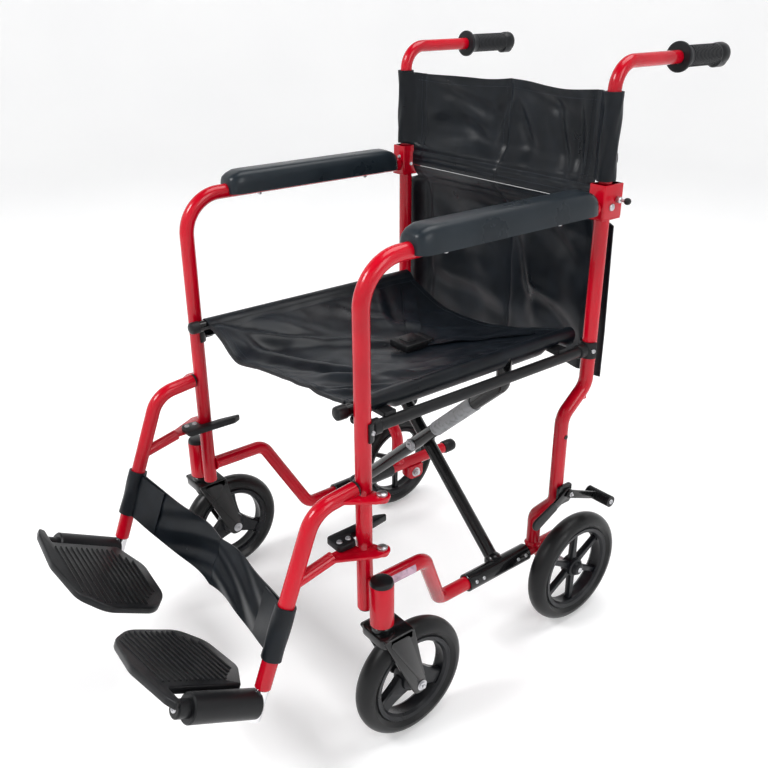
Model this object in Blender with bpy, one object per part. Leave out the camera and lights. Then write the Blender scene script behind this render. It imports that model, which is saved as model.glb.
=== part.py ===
"""Folding transit wheelchair: one named object for each piece, in metres, +Z up, front toward -Y."""
import math

import bmesh
import bpy
from mathutils import Matrix, Vector

# ---------------------------------------------------------------- driving dimensions
GAP = 0.0003                 # clearance between pieces that touch

FRONT_Y = -0.1875            # front posts
WHEELBASE_POSTS = 0.434      # front post to upper rear post
REAR_STEP = 0.049            # the lower rear post stands this far ahead of the upper one
POST_X = 0.218               # half the distance between the side frames
TUBE_R = 0.011               # frame tube
ARM_Z = 0.700                # arm tube centre
ARM_BEND = 0.060
POST_BOTTOM_Z = 0.2135

RAIL_X = POST_X - 0.039        # lower rail, half distance
RAIL_Z = 0.119
RAIL_FRONT_Z = 0.243         # front end of the lower rail, welded to the front post
RAIL_STEP_START = 0.106      # where the rail starts to step down, behind the front post
RAIL_STEP_END = 0.172
RAIL_LENGTH = 0.505          # front post to the end of the steel tipping tube
TIP_CAP_LENGTH = 0.030
TIP_CAP_R = 0.0125

SEAT_SUPPORT_Z = 0.483
SEAT_SUPPORT_R = 0.008
SEAT_RAIL_X = POST_X - 0.026
SEAT_RAIL_Z = 0.503
SEAT_RAIL_R = 0.0085
SEAT_RAIL_FRONT = -0.024     # from the front post
SEAT_RAIL_BACK = 0.416
GUIDE_DROP = 0.0065          # the seat rail guides end this far below its centre

BRACE_R = 0.011
BRACE_SPLIT_Y = 0.2885       # the two braces pass each other here, from the front post
BRACE_SIDE = 0.012           # each brace's distance from that plane
BRACE_TOP_Z = 0.4585         # brace axis below the seat rail
SLEEVE_START = 0.230
SLEEVE_LENGTH = 0.137
SLEEVE_R = 0.0145
PIVOT_BOLT_R = 0.004

HINGE_Z = 0.701              # fold-down hinge of the upper back
CANE_R = 0.0095
CANE_BLOCK_BACK = 0.0125
HANDLE_Z = 0.893
CANE_BEND = 0.036
CANE_END = 0.234             # handle length behind the cane
GRIP_START = 0.136
GRIP_LENGTH = 0.112
GRIP_R = 0.0145
BRACKET_WALL = 0.003
BRACKET_HEIGHT = 0.050
BRACKET_DEPTH = 0.040

PAD_START = 0.072
PAD_LENGTH = 0.330
PAD_WIDTH = 0.050
PAD_BOTTOM_Z = 0.6965
PAD_TOP_Z = 0.7300

HOUSING_X = POST_X + 0.0365    # caster swivel axis
HOUSING_R = 0.0165
HOUSING_BOTTOM_Z = 0.2085
HOUSING_TOP_Z = 0.2790
CASTER_R = 0.0915
CASTER_TRAIL = 0.049
CASTER_RIM_R = 0.068
TYRE_WIDTH = 0.034
FORK_GAP = 0.0235            # half the space between the fork legs
FORK_LEG = 0.0045
FORK_TOP_Z = HOUSING_BOTTOM_Z - 0.0010
AXLE_R = 0.0045
WHEEL_SIDES = 24             # rim and tyre share this, so that their facets line up

REAR_WHEEL_X = POST_X + 0.016
REAR_WHEEL_Y = 0.4232        # behind the front post
REAR_WHEEL_R = 0.097
REAR_RIM_R = 0.074

BRAKE_Z = 0.252
BRAKE_ROLLER_R = 0.0095
BRAKE_ROLLER_LENGTH = 0.046
BRAKE_PIVOT_Y = 0.392        # behind the front post
BRAKE_LEVER_LENGTH = 0.085
BRAKE_ARM = (0.0720, -0.0300)

HANGER_PIVOT_X = POST_X + 0.028
HANGER_PIVOT_Y = 0.008
LUG_R = 0.0105
LUG_THICK = 0.004
UPPER_LUG_Z = 0.3965
LOWER_LUG_Z = 0.3155
HANGER_TOP_Z = 0.404
HANGER_FALL = 0.008          # the upper run falls this much to the knee
HANGER_ANGLE = math.radians(21.3)
HANGER_KNEE = 0.078          # knee of the hanger tube, ahead of the front post
HANGER_BOTTOM_Z = 0.168
HANGER_BEND = 0.045
EXTENSION_R = 0.0095
EXTENSION_LENGTH = 0.046

PLATE_TILT = math.radians(28.0)
PLATE_LENGTH = 0.150
PLATE_WIDTH = 0.188
PLATE_THICK = 0.011
PLATE_DROOP = math.radians(6.0)
PLATE_START = 0.0215
PLATE_PIVOT = (0.027, 0.012)   # inward of and above the barrel axis
BARREL_R = 0.0195
BARREL_LENGTH = 0.094
BARREL_LIFT = 0.023          # barrel axis above the end of the chrome tube
NUB_R = 0.012
NUB_LENGTH = 0.018

SLING_THICK = 0.003
SEAT_SAG = 0.044
BACK_TOP_Z = 0.856
BACK_BOTTOM_Z = 0.430
BACK_SAG = 0.030
BACK_THICK = 0.004
SLEEVE_CLOTH = 0.0022        # cloth wall round the canes
CENTRE_GAP = 0.0010          # between the left and right cloth halves
CLOTH_NARROW = POST_X - 0.020   # half width of the back cloth between the two brackets
STRAP_HEIGHT = 0.074
STRAP_THICK = 0.003
BELT_WIDTH = 0.025
BELT_THICK = 0.002
BELT_CLEAR = 0.0024          # above the facets of the sagging seat cloth

REAR_Y = FRONT_Y + WHEELBASE_POSTS
LOWER_REAR_Y = REAR_Y - REAR_STEP
CASTER_Y = FRONT_Y + CASTER_TRAIL
BRACE_FRONT_Y = FRONT_Y + BRACE_SPLIT_Y - BRACE_SIDE
BRACE_REAR_Y = FRONT_Y + BRACE_SPLIT_Y + BRACE_SIDE
HINGE_BACK_Z = HINGE_Z - 0.0185
SIDES = (("left", 1.0), ("right", -1.0))

MATERIALS = {
    "red_paint": ((0.45, 0.005, 0.02), 0.22, 0.0),
    "black_paint": ((0.015, 0.016, 0.018), 0.35, 0.0),
    "black_plastic": ((0.02, 0.021, 0.023), 0.55, 0.0),
    "black_nylon": ((0.012, 0.013, 0.016), 0.7, 0.0),
    "black_rubber": ((0.018, 0.018, 0.019), 0.75, 0.0),
    "chrome": ((0.8, 0.8, 0.82), 0.12, 1.0),
    "steel": ((0.5, 0.5, 0.52), 0.35, 1.0),
}


# ---------------------------------------------------------------- helpers
def material(name):
    """Return the named Principled material, made once."""
    found = bpy.data.materials.get(name)
    if found:
        return found
    colour, roughness, metallic = MATERIALS[name]
    made = bpy.data.materials.new(name)
    made.use_nodes = True
    shader = made.node_tree.nodes["Principled BSDF"]
    shader.inputs["Base Color"].default_value = (*colour, 1.0)
    shader.inputs["Roughness"].default_value = roughness
    shader.inputs["Metallic"].default_value = metallic
    return made


def close(bm):
    """Weld a bmesh and turn its faces outward."""
    bmesh.ops.remove_doubles(bm, verts=bm.verts, dist=1e-6)
    bmesh.ops.recalc_face_normals(bm, faces=bm.faces)
    return bm


def fillet(points, radius, steps=4):
    """Round the inner corners of a polyline with arcs of one radius."""
    points = [Vector(p) for p in points]
    path = [points[0]]
    for before, corner, after in zip(points, points[1:], points[2:]):
        into = (before - corner).normalized()
        out = (after - corner).normalized()
        half = into.angle(out) / 2
        reach = min(radius / math.tan(half), (before - corner).length * 0.49, (after - corner).length * 0.49)
        size = reach * math.tan(half)
        centre = corner + (into + out).normalized() * (size / math.sin(half))
        start = corner + into * reach - centre
        end = corner + out * reach - centre
        turn = start.angle(end)
        axis = start.cross(end).normalized()
        for step in range(steps + 1):
            path.append(centre + Matrix.Rotation(turn * step / steps, 3, axis) @ start)
    path.append(points[-1])
    return path


def tube(path, radius, sides=10):
    """Sweep a circle along a path, with flat ends."""
    bm = bmesh.new()
    path = [Vector(p) for p in path]
    tangents = []
    for i in range(len(path)):
        before = path[i] - path[i - 1] if i else path[1] - path[0]
        after = path[i + 1] - path[i] if i + 1 < len(path) else before
        tangents.append((before.normalized() + after.normalized()).normalized())
    side = tangents[0].orthogonal().normalized()
    rings = []
    for i, (point, tangent) in enumerate(zip(path, tangents)):
        side = (side - tangent * side.dot(tangent)).normalized()
        up = tangent.cross(side)
        if 0 < i < len(path) - 1:
            before = (path[i] - path[i - 1]).normalized()
            stretch = 1 / max(0.5, before.dot(tangent))
            bend = (tangents[i] - before).normalized() if stretch > 1.0001 else side
        else:
            stretch, bend = 1.0, side
        ring = []
        for k in range(sides):
            turn = 2 * math.pi * (k + 0.5) / sides
            offset = (side * math.cos(turn) + up * math.sin(turn)) * radius
            across = bend - tangent * bend.dot(tangent)
            if across.length > 1e-9:
                across.normalize()
                offset += across * offset.dot(across) * (stretch - 1)
            ring.append(bm.verts.new(point + offset))
        rings.append(ring)
    for one, two in zip(rings, rings[1:]):
        for k in range(sides):
            j = (k + 1) % sides
            bm.faces.new((one[k], one[j], two[j], two[k]))
    bm.faces.new(rings[0])
    bm.faces.new(rings[-1])
    return close(bm)


def rod(start, end, radius, sides=12):
    """A plain cylinder between two points."""
    return tube([start, end], radius, sides)


def turned(profile, centre, axis, sides=24):
    """Revolve a closed (radius, height) outline about an axis through centre."""
    bm = bmesh.new()
    axis = Vector(axis).normalized()
    spin = axis.to_track_quat("Z", "Y").to_matrix()
    rings = []
    for radius, height in profile:
        if radius < 1e-7:
            rings.append([bm.verts.new(Vector(centre) + axis * height)])
            continue
        ring = []
        for k in range(sides):
            turn = 2 * math.pi * k / sides
            ring.append(bm.verts.new(Vector(centre) + spin @ Vector(
                (radius * math.cos(turn), radius * math.sin(turn), height))))
        rings.append(ring)
    for one, two in zip(rings, rings[1:] + rings[:1]):
        if len(one) == 1 and len(two) == 1:
            continue
        for k in range(sides):
            j = (k + 1) % sides
            corners = [one[k % len(one)], one[j % len(one)], two[j % len(two)], two[k % len(two)]]
            bm.faces.new(list(dict.fromkeys(corners)))
    return close(bm)


def box(low, high):
    """A box between two corners."""
    low, high = Vector(low), Vector(high)
    low, high = (Vector(map(min, low, high)), Vector(map(max, low, high)))
    bm = bmesh.new()
    bmesh.ops.create_cube(bm, size=1.0)
    bmesh.ops.scale(bm, vec=high - low, verts=bm.verts)
    bmesh.ops.translate(bm, vec=(low + high) / 2, verts=bm.verts)
    return close(bm)


def extruded(outline, direction, distance):
    """Extrude a closed outline of 3-D points."""
    bm = bmesh.new()
    move = Vector(direction).normalized() * distance
    base = [bm.verts.new(Vector(p)) for p in outline]
    top = [bm.verts.new(Vector(p) + move) for p in outline]
    bm.faces.new(base)
    bm.faces.new(top)
    for k in range(len(base)):
        j = (k + 1) % len(base)
        bm.faces.new((base[k], base[j], top[j], top[k]))
    return close(bm)


def sheet(rows, thickness):
    """Thicken a grid of points into a closed sheet, about its middle surface."""
    bm = bmesh.new()
    grid = [[Vector(p) for p in row] for row in rows]
    high, low = [], []
    for i, row in enumerate(grid):
        high.append([])
        low.append([])
        for j, point in enumerate(row):
            along = grid[min(i + 1, len(grid) - 1)][j] - grid[max(i - 1, 0)][j]
            across = row[min(j + 1, len(row) - 1)] - row[max(j - 1, 0)]
            normal = along.cross(across).normalized() * (thickness / 2)
            high[i].append(bm.verts.new(point + normal))
            low[i].append(bm.verts.new(point - normal))
    last_row, last_column = len(grid) - 1, len(grid[0]) - 1
    for layer in (high, low):
        for i in range(last_row):
            for j in range(last_column):
                bm.faces.new((layer[i][j], layer[i + 1][j], layer[i + 1][j + 1], layer[i][j + 1]))
    for i in range(last_row):
        for j in (0, last_column):
            bm.faces.new((high[i][j], high[i + 1][j], low[i + 1][j], low[i][j]))
    for j in range(last_column):
        for i in (0, last_row):
            bm.faces.new((high[i][j], high[i][j + 1], low[i][j + 1], low[i][j]))
    return close(bm)


def rounded(corners, radii, steps=3):
    """Round a closed flat outline's corners, one radius each."""
    corners = [Vector(c) for c in corners]
    outline = []
    for i, (corner, radius) in enumerate(zip(corners, radii)):
        before = (corners[i - 1] - corner)
        after = (corners[(i + 1) % len(corners)] - corner)
        if radius <= 0:
            outline.append(corner)
            continue
        into, out = before.normalized(), after.normalized()
        half = into.angle(out) / 2
        reach = min(radius / math.tan(half), before.length * 0.49, after.length * 0.49)
        size = reach * math.tan(half)
        centre = corner + (into + out).normalized() * (size / math.sin(half))
        start = corner + into * reach - centre
        end = corner + out * reach - centre
        axis = start.cross(end).normalized()
        turn = start.angle(end)
        for step in range(steps + 1):
            outline.append(centre + Matrix.Rotation(turn * step / steps, 3, axis) @ start)
    return outline


def to_object(name, bm):
    """Store a bmesh as an object of its own."""
    mesh = bpy.data.meshes.new(name)
    bm.to_mesh(mesh)
    bm.free()
    made = bpy.data.objects.new(name, mesh)
    bpy.context.scene.collection.objects.link(made)
    return made


def combine(base, added=(), cut=()):
    """Union and cut bmeshes exactly, and return one bmesh."""
    body = to_object("work_body", base)
    tools = []
    for operation, group in (("UNION", added), ("DIFFERENCE", cut)):
        for bm in group:
            tool = to_object("work_tool", bm)
            tools.append(tool)
            modifier = body.modifiers.new(operation, "BOOLEAN")
            modifier.operation = operation
            modifier.solver = "EXACT"
            modifier.object = tool
    graph = bpy.context.evaluated_depsgraph_get()
    mesh = bpy.data.meshes.new_from_object(body.evaluated_get(graph))
    result = bmesh.new()
    result.from_mesh(mesh)
    for used in [body] + tools:
        bpy.data.objects.remove(used)
    bpy.data.meshes.remove(mesh)
    bmesh.ops.dissolve_degenerate(result, dist=1e-6, edges=result.edges)
    return result


def part(name, bm, material_name, pivot=(0.0, 0.0, 0.0), smooth=True):
    """Make the named object, with its origin on pivot."""
    bmesh.ops.translate(bm, vec=-Vector(pivot), verts=bm.verts)
    made = to_object(name, bm)
    made.location = pivot
    made.data.materials.append(material(material_name))
    if smooth:
        made.data.shade_smooth()
        made.data.set_sharp_from_angle(angle=math.radians(35))
    return made


def name_of(piece, side):
    return piece + "_" + side


# ---------------------------------------------------------------- side frame
def front_arm_tube(side, s):
    """Front post and arm, bent from one tube, with the two hanger lugs."""
    rear = REAR_Y - CANE_R - 0.005 - BRACKET_WALL - GAP
    path = fillet([(s * POST_X, FRONT_Y, POST_BOTTOM_Z), (s * POST_X, FRONT_Y, ARM_Z),
                   (s * POST_X, rear, ARM_Z)], ARM_BEND, 6)
    added = []
    for z in (UPPER_LUG_Z, LOWER_LUG_Z):
        pivot = Vector((s * HANGER_PIVOT_X, FRONT_Y + HANGER_PIVOT_Y, z - LUG_THICK))
        web = rounded([(s * (POST_X + 0.004), FRONT_Y - 0.004, pivot.z),
                       (s * (HANGER_PIVOT_X + 0.004), FRONT_Y + HANGER_PIVOT_Y - LUG_R, pivot.z),
                       (s * (HANGER_PIVOT_X + 0.010), FRONT_Y + HANGER_PIVOT_Y, pivot.z),
                       (s * (HANGER_PIVOT_X + 0.004), FRONT_Y + HANGER_PIVOT_Y + LUG_R, pivot.z),
                       (s * (POST_X + 0.004), FRONT_Y + 0.009, pivot.z)], [0, 0.006, 0.006, 0.006, 0])
        added.append(extruded(web, (0, 0, 1), LUG_THICK))
        added.append(rod(pivot, pivot + Vector((0, 0, 2 * LUG_THICK + 0.003)), PIVOT_BOLT_R, 8))
    return part(name_of("front_arm_tube", side), combine(tube(path, TUBE_R), added), "red_paint")


def rear_post(side, s):
    """Rear post: straight, stepped forward, then curved in to the lower rail."""
    top = HINGE_BACK_Z - GAP
    path = fillet([(s * POST_X, REAR_Y, top), (s * POST_X, REAR_Y, 0.4232),
                   (s * POST_X, LOWER_REAR_Y, 0.3820), (s * POST_X, LOWER_REAR_Y, 0.2300),
                   (s * RAIL_X, LOWER_REAR_Y, 0.1850),
                   (s * RAIL_X, LOWER_REAR_Y, RAIL_Z + TUBE_R + GAP)], 0.030, 3)
    return part(name_of("rear_post", side), tube(path, TUBE_R), "red_paint")


def lower_rail(side, s):
    """Lower rail: high at the front, stepped down and in, straight to the tipping tube."""
    path = fillet([(s * POST_X, FRONT_Y + TUBE_R + GAP, RAIL_FRONT_Z),
                   (s * POST_X, FRONT_Y + RAIL_STEP_START, RAIL_FRONT_Z),
                   (s * RAIL_X, FRONT_Y + RAIL_STEP_END, RAIL_Z),
                   (s * RAIL_X, FRONT_Y + RAIL_LENGTH, RAIL_Z)], 0.022, 4)
    return part(name_of("lower_rail", side), tube(path, TUBE_R), "red_paint")


def tipping_cap(side, s):
    """Plastic foot on the end of the tipping tube."""
    start = FRONT_Y + RAIL_LENGTH + GAP
    profile = [(0, 0), (TIP_CAP_R, 0), (TIP_CAP_R, TIP_CAP_LENGTH - 0.006),
               (TIP_CAP_R - 0.003, TIP_CAP_LENGTH - 0.001), (TIP_CAP_R - 0.006, TIP_CAP_LENGTH), (0, TIP_CAP_LENGTH)]
    return part(name_of("tipping_cap", side), turned(profile, (s * RAIL_X, start, RAIL_Z), (0, 1, 0), 12),
                "black_plastic")


def caster_housing(side, s):
    """Bearing housing beside the front post, with the web that joins them."""
    centre = (s * HOUSING_X, FRONT_Y, HOUSING_BOTTOM_Z)
    height = HOUSING_TOP_Z - HOUSING_BOTTOM_Z
    profile = [(0, 0), (HOUSING_R, 0), (HOUSING_R, height - 0.006), (HOUSING_R - 0.001, height - 0.005),
               (HOUSING_R - 0.002, height - 0.001), (HOUSING_R - 0.006, height), (0, height)]
    web = box((s * (POST_X + TUBE_R + GAP), FRONT_Y - 0.004, POST_BOTTOM_Z + 0.002),
              (s * (HOUSING_X - 0.004), FRONT_Y + 0.004, HOUSING_TOP_Z - 0.012))
    return part(name_of("caster_housing", side), combine(turned(profile, centre, (0, 0, 1), 16), [web]), "red_paint")


def armrest_pad(side, s):
    """Padded armrest, grooved underneath to sit on the arm tube."""
    half = PAD_WIDTH / 2
    groove = TUBE_R + GAP
    section = [(-half, PAD_BOTTOM_Z), (-half, PAD_TOP_Z - 0.010), (-half + 0.008, PAD_TOP_Z - 0.002),
               (0, PAD_TOP_Z), (half - 0.008, PAD_TOP_Z - 0.002), (half, PAD_TOP_Z - 0.010), (half, PAD_BOTTOM_Z)]
    drop = ARM_Z - PAD_BOTTOM_Z
    start = -math.asin(drop / (groove / math.cos(math.pi / 12)))
    big = groove / math.cos(math.pi / 12)
    arch = []
    for k in range(9):
        turn = start + (math.pi - 2 * start) * k / 8
        arch.append((big * math.cos(turn), ARM_Z + big * math.sin(turn)))
    section += arch
    outline = [(s * POST_X + x, FRONT_Y + PAD_START, z) for x, z in section]
    body = extruded(outline, (0, 1, 0), PAD_LENGTH)
    return part(name_of("armrest_pad", side), body, "black_plastic")


def back_bracket(side, s):
    """Open-backed channel of the fold-down hinge, cut first, then joined to its bolt."""
    half = CANE_R + 0.002
    front = REAR_Y - CANE_R - 0.005
    low = HINGE_BACK_Z
    outer = box((s * POST_X - half - BRACKET_WALL, front - BRACKET_WALL, low),
                (s * POST_X + half + BRACKET_WALL, front - BRACKET_WALL + BRACKET_DEPTH, low + BRACKET_HEIGHT))
    inner = box((s * POST_X - half, front, low + BRACKET_WALL),
                (s * POST_X + half, front + BRACKET_DEPTH, low + BRACKET_HEIGHT + 0.01))
    hole = rod((s * (POST_X + half - 0.002), REAR_Y + 0.010, HINGE_Z + 0.010),
               (s * (POST_X + half + 0.006), REAR_Y + 0.010, HINGE_Z + 0.010), 0.0028, 8)
    floor_cut = box((s * POST_X - half, REAR_Y + 0.007, low - 0.01),
                    (s * POST_X + half, front + BRACKET_DEPTH, low + 0.01))
    channel = combine(outer, [], [inner, hole, floor_cut])
    bolt = rod((s * POST_X - half - BRACKET_WALL - 0.003, REAR_Y, HINGE_Z),
               (s * POST_X + half + BRACKET_WALL + 0.003, REAR_Y, HINGE_Z), 0.003, 8)
    return part(name_of("back_bracket", side), combine(channel, [bolt]), "red_paint")


def back_release_pin(side, s):
    """Spring pin with a round pull, pushed through the bracket's outer wall."""
    start = POST_X + CANE_R + 0.0023
    wall = POST_X + CANE_R + 0.002 + BRACKET_WALL
    profile = [(0, 0), (0.0024, 0), (0.0024, wall + 0.0012 - start), (0.0045, wall + 0.0012 - start),
               (0.0045, 0.010), (0.0025, 0.012), (0.0025, 0.016), (0.0050, 0.019), (0.0050, 0.023),
               (0.0025, 0.026), (0, 0.026)]
    centre = (s * start, REAR_Y + 0.010, HINGE_Z + 0.010)
    return part(name_of("back_release_pin", side), turned(profile, centre, (s, 0, 0), 10), "steel", centre)


def back_cane(side, s):
    """Upper back post, bent back into the push handle, on a hinge block."""
    path = fillet([(s * POST_X, REAR_Y, HINGE_Z + 0.006), (s * POST_X, REAR_Y, HANDLE_Z),
                   (s * POST_X, REAR_Y + CANE_END, HANDLE_Z)], CANE_BEND, 6)
    reach = 0.0092
    block = extruded(rounded([(s * POST_X - CANE_R, REAR_Y - reach, HINGE_Z - reach),
                              (s * POST_X - CANE_R, REAR_Y + CANE_BLOCK_BACK, HINGE_Z - reach + 0.002),
                              (s * POST_X - CANE_R, REAR_Y + CANE_BLOCK_BACK, HINGE_Z + 0.024),
                              (s * POST_X - CANE_R, REAR_Y - reach, HINGE_Z + 0.024)],
                             [0.006, 0.004, 0.003, 0.003], 2), (1, 0, 0), 2 * CANE_R)
    bore = rod((s * POST_X - 0.03, REAR_Y, HINGE_Z), (s * POST_X + 0.03, REAR_Y, HINGE_Z), 0.0036, 8)
    return part(name_of("back_cane", side), combine(tube(path, CANE_R), [block], [bore]), "red_paint",
                (s * POST_X, REAR_Y, HINGE_Z))


def push_grip(side, s):
    """Moulded grip with a hand flange in front and a raised end."""
    bore = CANE_R + GAP
    inner = CANE_END - GRIP_START + GAP
    profile = [(0, inner), (bore, inner), (bore, 0), (0.0215, 0), (0.0215, 0.005), (GRIP_R, 0.010),
               (GRIP_R, 0.090), (0.0165, 0.096), (0.0165, GRIP_LENGTH - 0.004), (0.0125, GRIP_LENGTH),
               (0, GRIP_LENGTH)]
    centre = (s * POST_X, REAR_Y + GRIP_START, HANDLE_Z)
    return part(name_of("push_grip", side), turned(profile, centre, (0, 1, 0), 16), "black_rubber",
                (s * POST_X, REAR_Y, HINGE_Z))


def seat_support_rail(side, s):
    """Fixed rail under the seat edge, with a saddle clamp on each post and two guides for the seat rail."""
    start = FRONT_Y + TUBE_R + 0.0035
    end = REAR_Y - TUBE_R - 0.0035
    body = rod((s * POST_X, start - 0.001, SEAT_SUPPORT_Z), (s * POST_X, end + 0.001, SEAT_SUPPORT_Z), SEAT_SUPPORT_R)
    added, cut = [], []
    for post_y, way in ((FRONT_Y, 1.0), (REAR_Y, -1.0)):
        inner, outer = TUBE_R + GAP, TUBE_R + 0.0035
        arc = []
        for k in range(9):
            turn = math.pi * k / 8
            arc.append(Vector((s * POST_X + outer * math.cos(turn), post_y + way * outer * math.sin(turn),
                               SEAT_SUPPORT_Z - 0.0130)))
        for k in range(9):
            turn = math.pi * (8 - k) / 8
            big = inner / math.cos(math.pi / 16)
            arc.append(Vector((s * POST_X + big * math.cos(turn), post_y + way * big * math.sin(turn),
                               SEAT_SUPPORT_Z - 0.0130)))
        added.append(extruded(arc, (0, 0, 1), 0.0260))
        added.append(rod((s * POST_X, post_y + way * (outer - 0.001), SEAT_SUPPORT_Z),
                         (s * POST_X, post_y + way * (outer + 0.010), SEAT_SUPPORT_Z), SEAT_SUPPORT_R + 0.0025))
    for y in (FRONT_Y + 0.045, REAR_Y - 0.060):
        cradle = SEAT_RAIL_R + 0.0026
        low = SEAT_RAIL_Z - cradle - 0.003
        added.append(box((s * (SEAT_RAIL_X - cradle - 0.003), y - 0.009, low),
                         (s * (POST_X + 0.001), y + 0.009, SEAT_RAIL_Z - GUIDE_DROP)))
        cut.append(rod((s * SEAT_RAIL_X, y - 0.02, SEAT_RAIL_Z), (s * SEAT_RAIL_X, y + 0.02, SEAT_RAIL_Z), cradle, 12))
    return part(name_of("seat_support_rail", side), combine(body, added, cut), "black_plastic")


# ---------------------------------------------------------------- cross brace
def cross_brace(name, y, foot_side):
    """Diagonal brace: sleeve round one lower rail, seat rail on the other side."""
    foot = Vector((foot_side * RAIL_X, y, RAIL_Z))
    head = Vector((-foot_side * SEAT_RAIL_X, y, BRACE_TOP_Z))
    top = Vector((-foot_side * SEAT_RAIL_X, y, SEAT_RAIL_Z))
    sleeve_from = (foot.x, FRONT_Y + SLEEVE_START, RAIL_Z)
    sleeve_to = (foot.x, FRONT_Y + SLEEVE_START + SLEEVE_LENGTH, RAIL_Z)
    added = [rod(sleeve_from, sleeve_to, SLEEVE_R),
             rod((top.x, FRONT_Y + SEAT_RAIL_FRONT, SEAT_RAIL_Z), (top.x, FRONT_Y + SEAT_RAIL_BACK, SEAT_RAIL_Z),
                 SEAT_RAIL_R, 10)]
    path = fillet([foot, head, top - Vector((0, 0, SEAT_RAIL_R / 2))], 0.018, 3)
    bore = rod((foot.x, FRONT_Y, RAIL_Z), (foot.x, FRONT_Y + 0.6, RAIL_Z), TUBE_R + 0.0008, 10)
    cross_z = RAIL_Z + (BRACE_TOP_Z - RAIL_Z) * RAIL_X / (RAIL_X + SEAT_RAIL_X)
    hole = rod((0, y - 0.03, cross_z), (0, y + 0.03, cross_z), PIVOT_BOLT_R + 0.0006, 8)
    return part(name, combine(tube(path, BRACE_R), added, [bore, hole]), "black_paint", tuple(foot))


def cross_pivot_bolt():
    """Bolt through both braces at their crossing."""
    z = RAIL_Z + (BRACE_TOP_Z - RAIL_Z) * RAIL_X / (RAIL_X + SEAT_RAIL_X)
    front = BRACE_FRONT_Y - BRACE_R - 0.005
    back = BRACE_REAR_Y + BRACE_R + 0.005
    length = back - front
    profile = [(0, 0), (0.008, 0), (0.008, 0.0045), (PIVOT_BOLT_R, 0.0045), (PIVOT_BOLT_R, length - 0.0045),
               (0.007, length - 0.0045), (0.007, length), (0, length)]
    return part("cross_pivot_bolt", turned(profile, (0, front, z), (0, 1, 0), 12), "steel",
                (0, FRONT_Y + BRACE_SPLIT_Y, z))


# ---------------------------------------------------------------- casters and wheels
def tyre(width, radius, inner):
    """Closed outline of a round tyre, as (radius, height) pairs."""
    half = width / 2
    outline = [(inner, -half * 0.72), (inner, half * 0.72)]
    for k in range(9):
        turn = math.pi * (8 - k) / 8
        outline.append((radius - half + half * math.sin(turn), -half * math.cos(turn)))
    return outline


def wheel_rim(radius, half, hub, hub_half, bore, spokes, spoke_width, centre, axis):
    """Rim ring, spokes and hub in one moulding, with a bore for the axle."""
    ring = turned([(radius - 0.009, -half), (radius, -half), (radius, half), (radius - 0.009, half)],
                  centre, axis, WHEEL_SIDES)
    hub_solid = turned([(0, -hub_half), (hub, -hub_half), (hub, hub_half), (0, hub_half)], centre, axis, 16)
    added = [hub_solid]
    for k in range(spokes):
        turn = 2 * math.pi * k / spokes + math.pi / 2
        out = Vector((0, math.cos(turn), math.sin(turn)))
        across = Vector(axis).normalized().cross(out).normalized() * spoke_width / 2
        near, far = Vector(centre) + out * hub * 0.6, Vector(centre) + out * (radius - 0.005)
        thick = Vector(axis).normalized() * half * 0.5
        outline = [near - across - thick, far - across - thick, far + across - thick, near + across - thick]
        added.append(extruded(outline, axis, half))
    tool = rod(Vector(centre) - Vector(axis) * 0.05, Vector(centre) + Vector(axis) * 0.05, bore, 12)
    return combine(ring, added, [tool])


def caster(side, s):
    """Fork with its axle, rim and tyre."""
    axis = (1.0, 0.0, 0.0)
    centre = Vector((s * HOUSING_X, CASTER_Y, CASTER_R))
    pivot = (s * HOUSING_X, FRONT_Y, HOUSING_BOTTOM_Z)
    crown_low = 2 * CASTER_R + 0.0025
    outer = FORK_GAP + FORK_LEG
    crown = extruded(rounded([(s * HOUSING_X - outer, FRONT_Y - 0.018, crown_low),
                              (s * HOUSING_X + outer, FRONT_Y - 0.018, crown_low),
                              (s * HOUSING_X + outer, FRONT_Y + 0.034, crown_low),
                              (s * HOUSING_X - outer, FRONT_Y + 0.034, crown_low)],
                             [0.010, 0.010, 0.004, 0.004], 2), (0, 0, 1), FORK_TOP_Z - 0.008 - crown_low)
    boss = rod((pivot[0], FRONT_Y, crown_low), (pivot[0], FRONT_Y, FORK_TOP_Z), HOUSING_R - 0.001, 12)
    added = [boss]
    for way in (-1, 1):
        x = s * HOUSING_X + way * FORK_GAP
        leg = rounded([(x, FRONT_Y - 0.018, FORK_TOP_Z - 0.009), (x, FRONT_Y + 0.034, FORK_TOP_Z - 0.009),
                       (x, CASTER_Y + 0.011, CASTER_R - 0.012), (x, CASTER_Y - 0.011, CASTER_R - 0.012)],
                      [0, 0, 0.0105, 0.0105], 3)
        added.append(extruded(leg, (way, 0, 0), FORK_LEG))
    added.append(rod(centre - Vector((outer + 0.005, 0, 0)), centre + Vector((outer + 0.005, 0, 0)), AXLE_R))
    part(name_of("caster_fork", side), combine(crown, added), "black_paint", pivot)
    rim = wheel_rim(CASTER_RIM_R, 0.0115, 0.020, 0.0185, AXLE_R + 0.0006, 3, 0.026, centre, axis)
    part(name_of("caster_rim", side), rim, "black_plastic", tuple(centre))
    part(name_of("caster_tyre", side),
         turned(tyre(TYRE_WIDTH, CASTER_R, CASTER_RIM_R + GAP), centre, axis, WHEEL_SIDES), "black_rubber", tuple(centre))


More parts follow.
